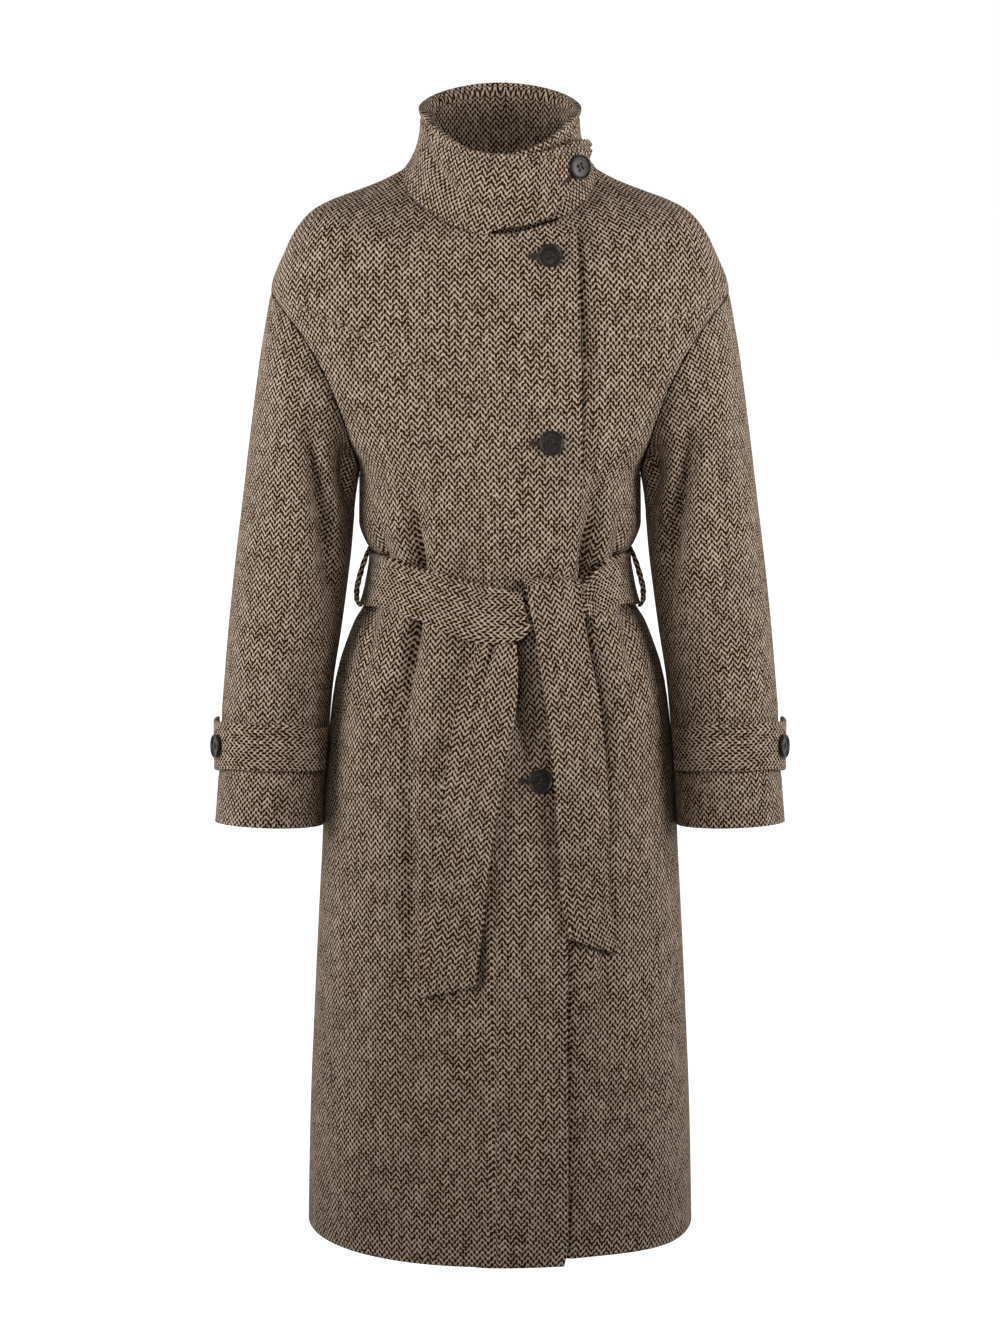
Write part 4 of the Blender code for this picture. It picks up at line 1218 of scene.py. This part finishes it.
# Buttonholes worked over with thread, each with a dark thread-coloured sheet laid in the slit as painted
# shade of its opening
buttonhole = {
    "length": 0.026, "before": 0.0215, "half": 0.001, "points": 15, "tips": (0.04, 0.96), "blunt": 0.4,
    "shadeSheetLift": 0.0002, "stitches": 46, "stitchLength": 0.0024, "stitchRadius": 0.00038, "stitchFrom": 0.4,
    "stitchLean": 0.0002, "stitchLift": (0.0004, 0.0003), "end": 0.0013, "endLift": 0.0005,
    "endRadius": 0.0007, "rodSides": 7, "collarSlope": 0.45, "collarRadius": 0.097, "collarHeight": 0.07,
}


def addRod(bm, start, end, radius):
    start, end = Vector(start), Vector(end)
    where = Matrix.Translation((start + end) / 2) @ (end - start).to_track_quat("Z", "Y").to_matrix().to_4x4()
    addCylinder(bm, radius, (end - start).length, buttonhole["rodSides"], where)


def makeButtonhole(name, surface, slope=0.0):
    # surface gives a point for a distance along the slit and one across it
    size = buttonhole
    bm = bmesh.new()
    steps = np.linspace(-size["before"], size["length"] - size["before"], size["points"])
    half = size["half"] * np.sin(math.pi * np.linspace(*size["tips"], size["points"])) ** size["blunt"]
    # The sheet along the slit is painted shade: a dark strip where the opening lies in shadow
    rows = [[bm.verts.new(surface(s, side * h + slope * s, size["shadeSheetLift"])) for s, h in zip(steps, half)]
            for side in (-1, 1)]
    for k in range(size["points"] - 1):
        bm.faces.new((rows[0][k], rows[0][k + 1], rows[1][k + 1], rows[1][k]))
    near = size["half"] * size["stitchFrom"]
    for k in range(size["stitches"]):
        side = 1 if k % 2 else -1
        s = blend(steps[0], steps[-1], (k + 0.5) / size["stitches"])
        inner = surface(s, slope * s + side * near, size["stitchLift"][0])
        outer = surface(s + size["stitchLean"], slope * s + side * (near + size["stitchLength"]),
                        size["stitchLift"][1])
        addRod(bm, inner, outer, size["stitchRadius"])
    for s in (steps[0], steps[-1]):
        bar = [surface(s, slope * s + side * size["end"], size["endLift"]) for side in (-1, 1)]
        addRod(bm, *bar, size["endRadius"])
    bmesh.ops.recalc_face_normals(bm, faces=bm.faces[:])
    meshPiece(name, bm, sewingThread)


def frontSurface(z, x):
    return lambda along, across, lift: overFront(*frontAt(x + along, z + across), lift)


def collarSurface(degrees, share):
    def surface(along, across, lift):
        turned = math.degrees(along / buttonhole["collarRadius"])
        return collar(degrees + turned, share + across / buttonhole["collarHeight"], lift)

    return surface


for number, spot in enumerate(buttonPlaces["front"], 1):
    makeButtonhole(f"buttonhole_front_{number}", frontSurface(*spot))
makeButtonhole("buttonhole_collar", collarSurface(*buttonPlaces["collar"]), buttonhole["collarSlope"])


# Studio: pale floor, soft lights, camera
studio = {
    "floor": -2.3, "half": 30.0, "glow": 0.85, "glowFrom": (0.25, 0.75), "air": 0.02, "airFrom": (0.1, 0.7),
    "paper": (0.9, 0.9, 0.9, 1), "white": (1, 1, 1, 1), "black": (0, 0, 0, 1), "aim": (0, 0, -0.05),
    # Name, place, width and height, power in watts, spread in degrees
    "lights": (("sideLeft", (-1.75, -0.9, 0.0), (0.8, 1.0), 8.6, 95),
               ("sideRight", (1.75, -0.9, 0.0), (0.8, 1.0), 8.0, 95),
               ("frontSoft", (-0.3, -2.6, 0.8), (1.0, 1.0), 5.5, 110)),
    "camera": (0.0, -3.4, 0.05), "tilt": math.radians(9.182), "lens": 90.24, "sensor": 36.0,
}


def makeFloor():
    bm = bmesh.new()
    bmesh.ops.create_grid(bm, x_segments=4, y_segments=4, size=studio["half"])
    bmesh.ops.translate(bm, verts=bm.verts[:], vec=(0, 0, studio["floor"]))
    paper, w, shader = newMaterial("paleFloor", {
        "Base Color": studio["paper"], "Roughness": 0.9, "Emission Strength": 1.0})
    back = w.node("ShaderNodeSeparateXYZ", None, {0: w.objectPlace()}, output=1)
    seen = w.node("ShaderNodeLightPath")
    # Only what lies behind the coat lights it, and the floor looks pale from everywhere
    amount = seen + (1 - seen) * back.between(*studio["glowFrom"]) * studio["glow"]
    feed(w, shader, Emission_Color=amount.mix(studio["black"], studio["white"]))
    newObject("studioFloor", bm, paper)


def makeAir():
    world = bpy.data.worlds.new("studioAir")
    world.use_nodes = True
    background = world.node_tree.nodes["Background"]
    background.inputs["Color"].default_value = studio["white"]
    w = Wire(world.node_tree, None)
    back = w.node("ShaderNodeSeparateXYZ", None, {0: w.node("ShaderNodeTexCoord")}, output=1)
    seen = w.node("ShaderNodeLightPath")
    amount = seen + (1 - seen) * (back.between(*studio["airFrom"]) * studio["glow"] + studio["air"])
    feed(w, background, Strength=amount)
    bpy.context.scene.world = world


def makeLight(name, place, size, power, spread):
    light = bpy.data.lights.new(name, "AREA")
    light.shape, light.energy, light.spread = "RECTANGLE", power, math.radians(spread)
    light.size, light.size_y = size
    lamp = linkObject(name, light)
    lamp.location = place
    lamp.rotation_euler = (Vector(studio["aim"]) - Vector(place)).to_track_quat("-Z", "Y").to_euler()


def makeCamera():
    camera = bpy.data.cameras.new("photoCamera")
    camera.lens, camera.sensor_width, camera.sensor_fit = studio["lens"], studio["sensor"], "AUTO"
    shot = linkObject("photoCamera", camera)
    shot.location = studio["camera"]
    shot.rotation_euler = (math.pi / 2 - studio["tilt"], 0, 0)
    bpy.context.scene.camera = shot


makeFloor()
makeAir()
for light in studio["lights"]:
    makeLight(*light)
makeCamera()
bpy.context.scene.view_settings.view_transform = "Standard"
print("studio ready")
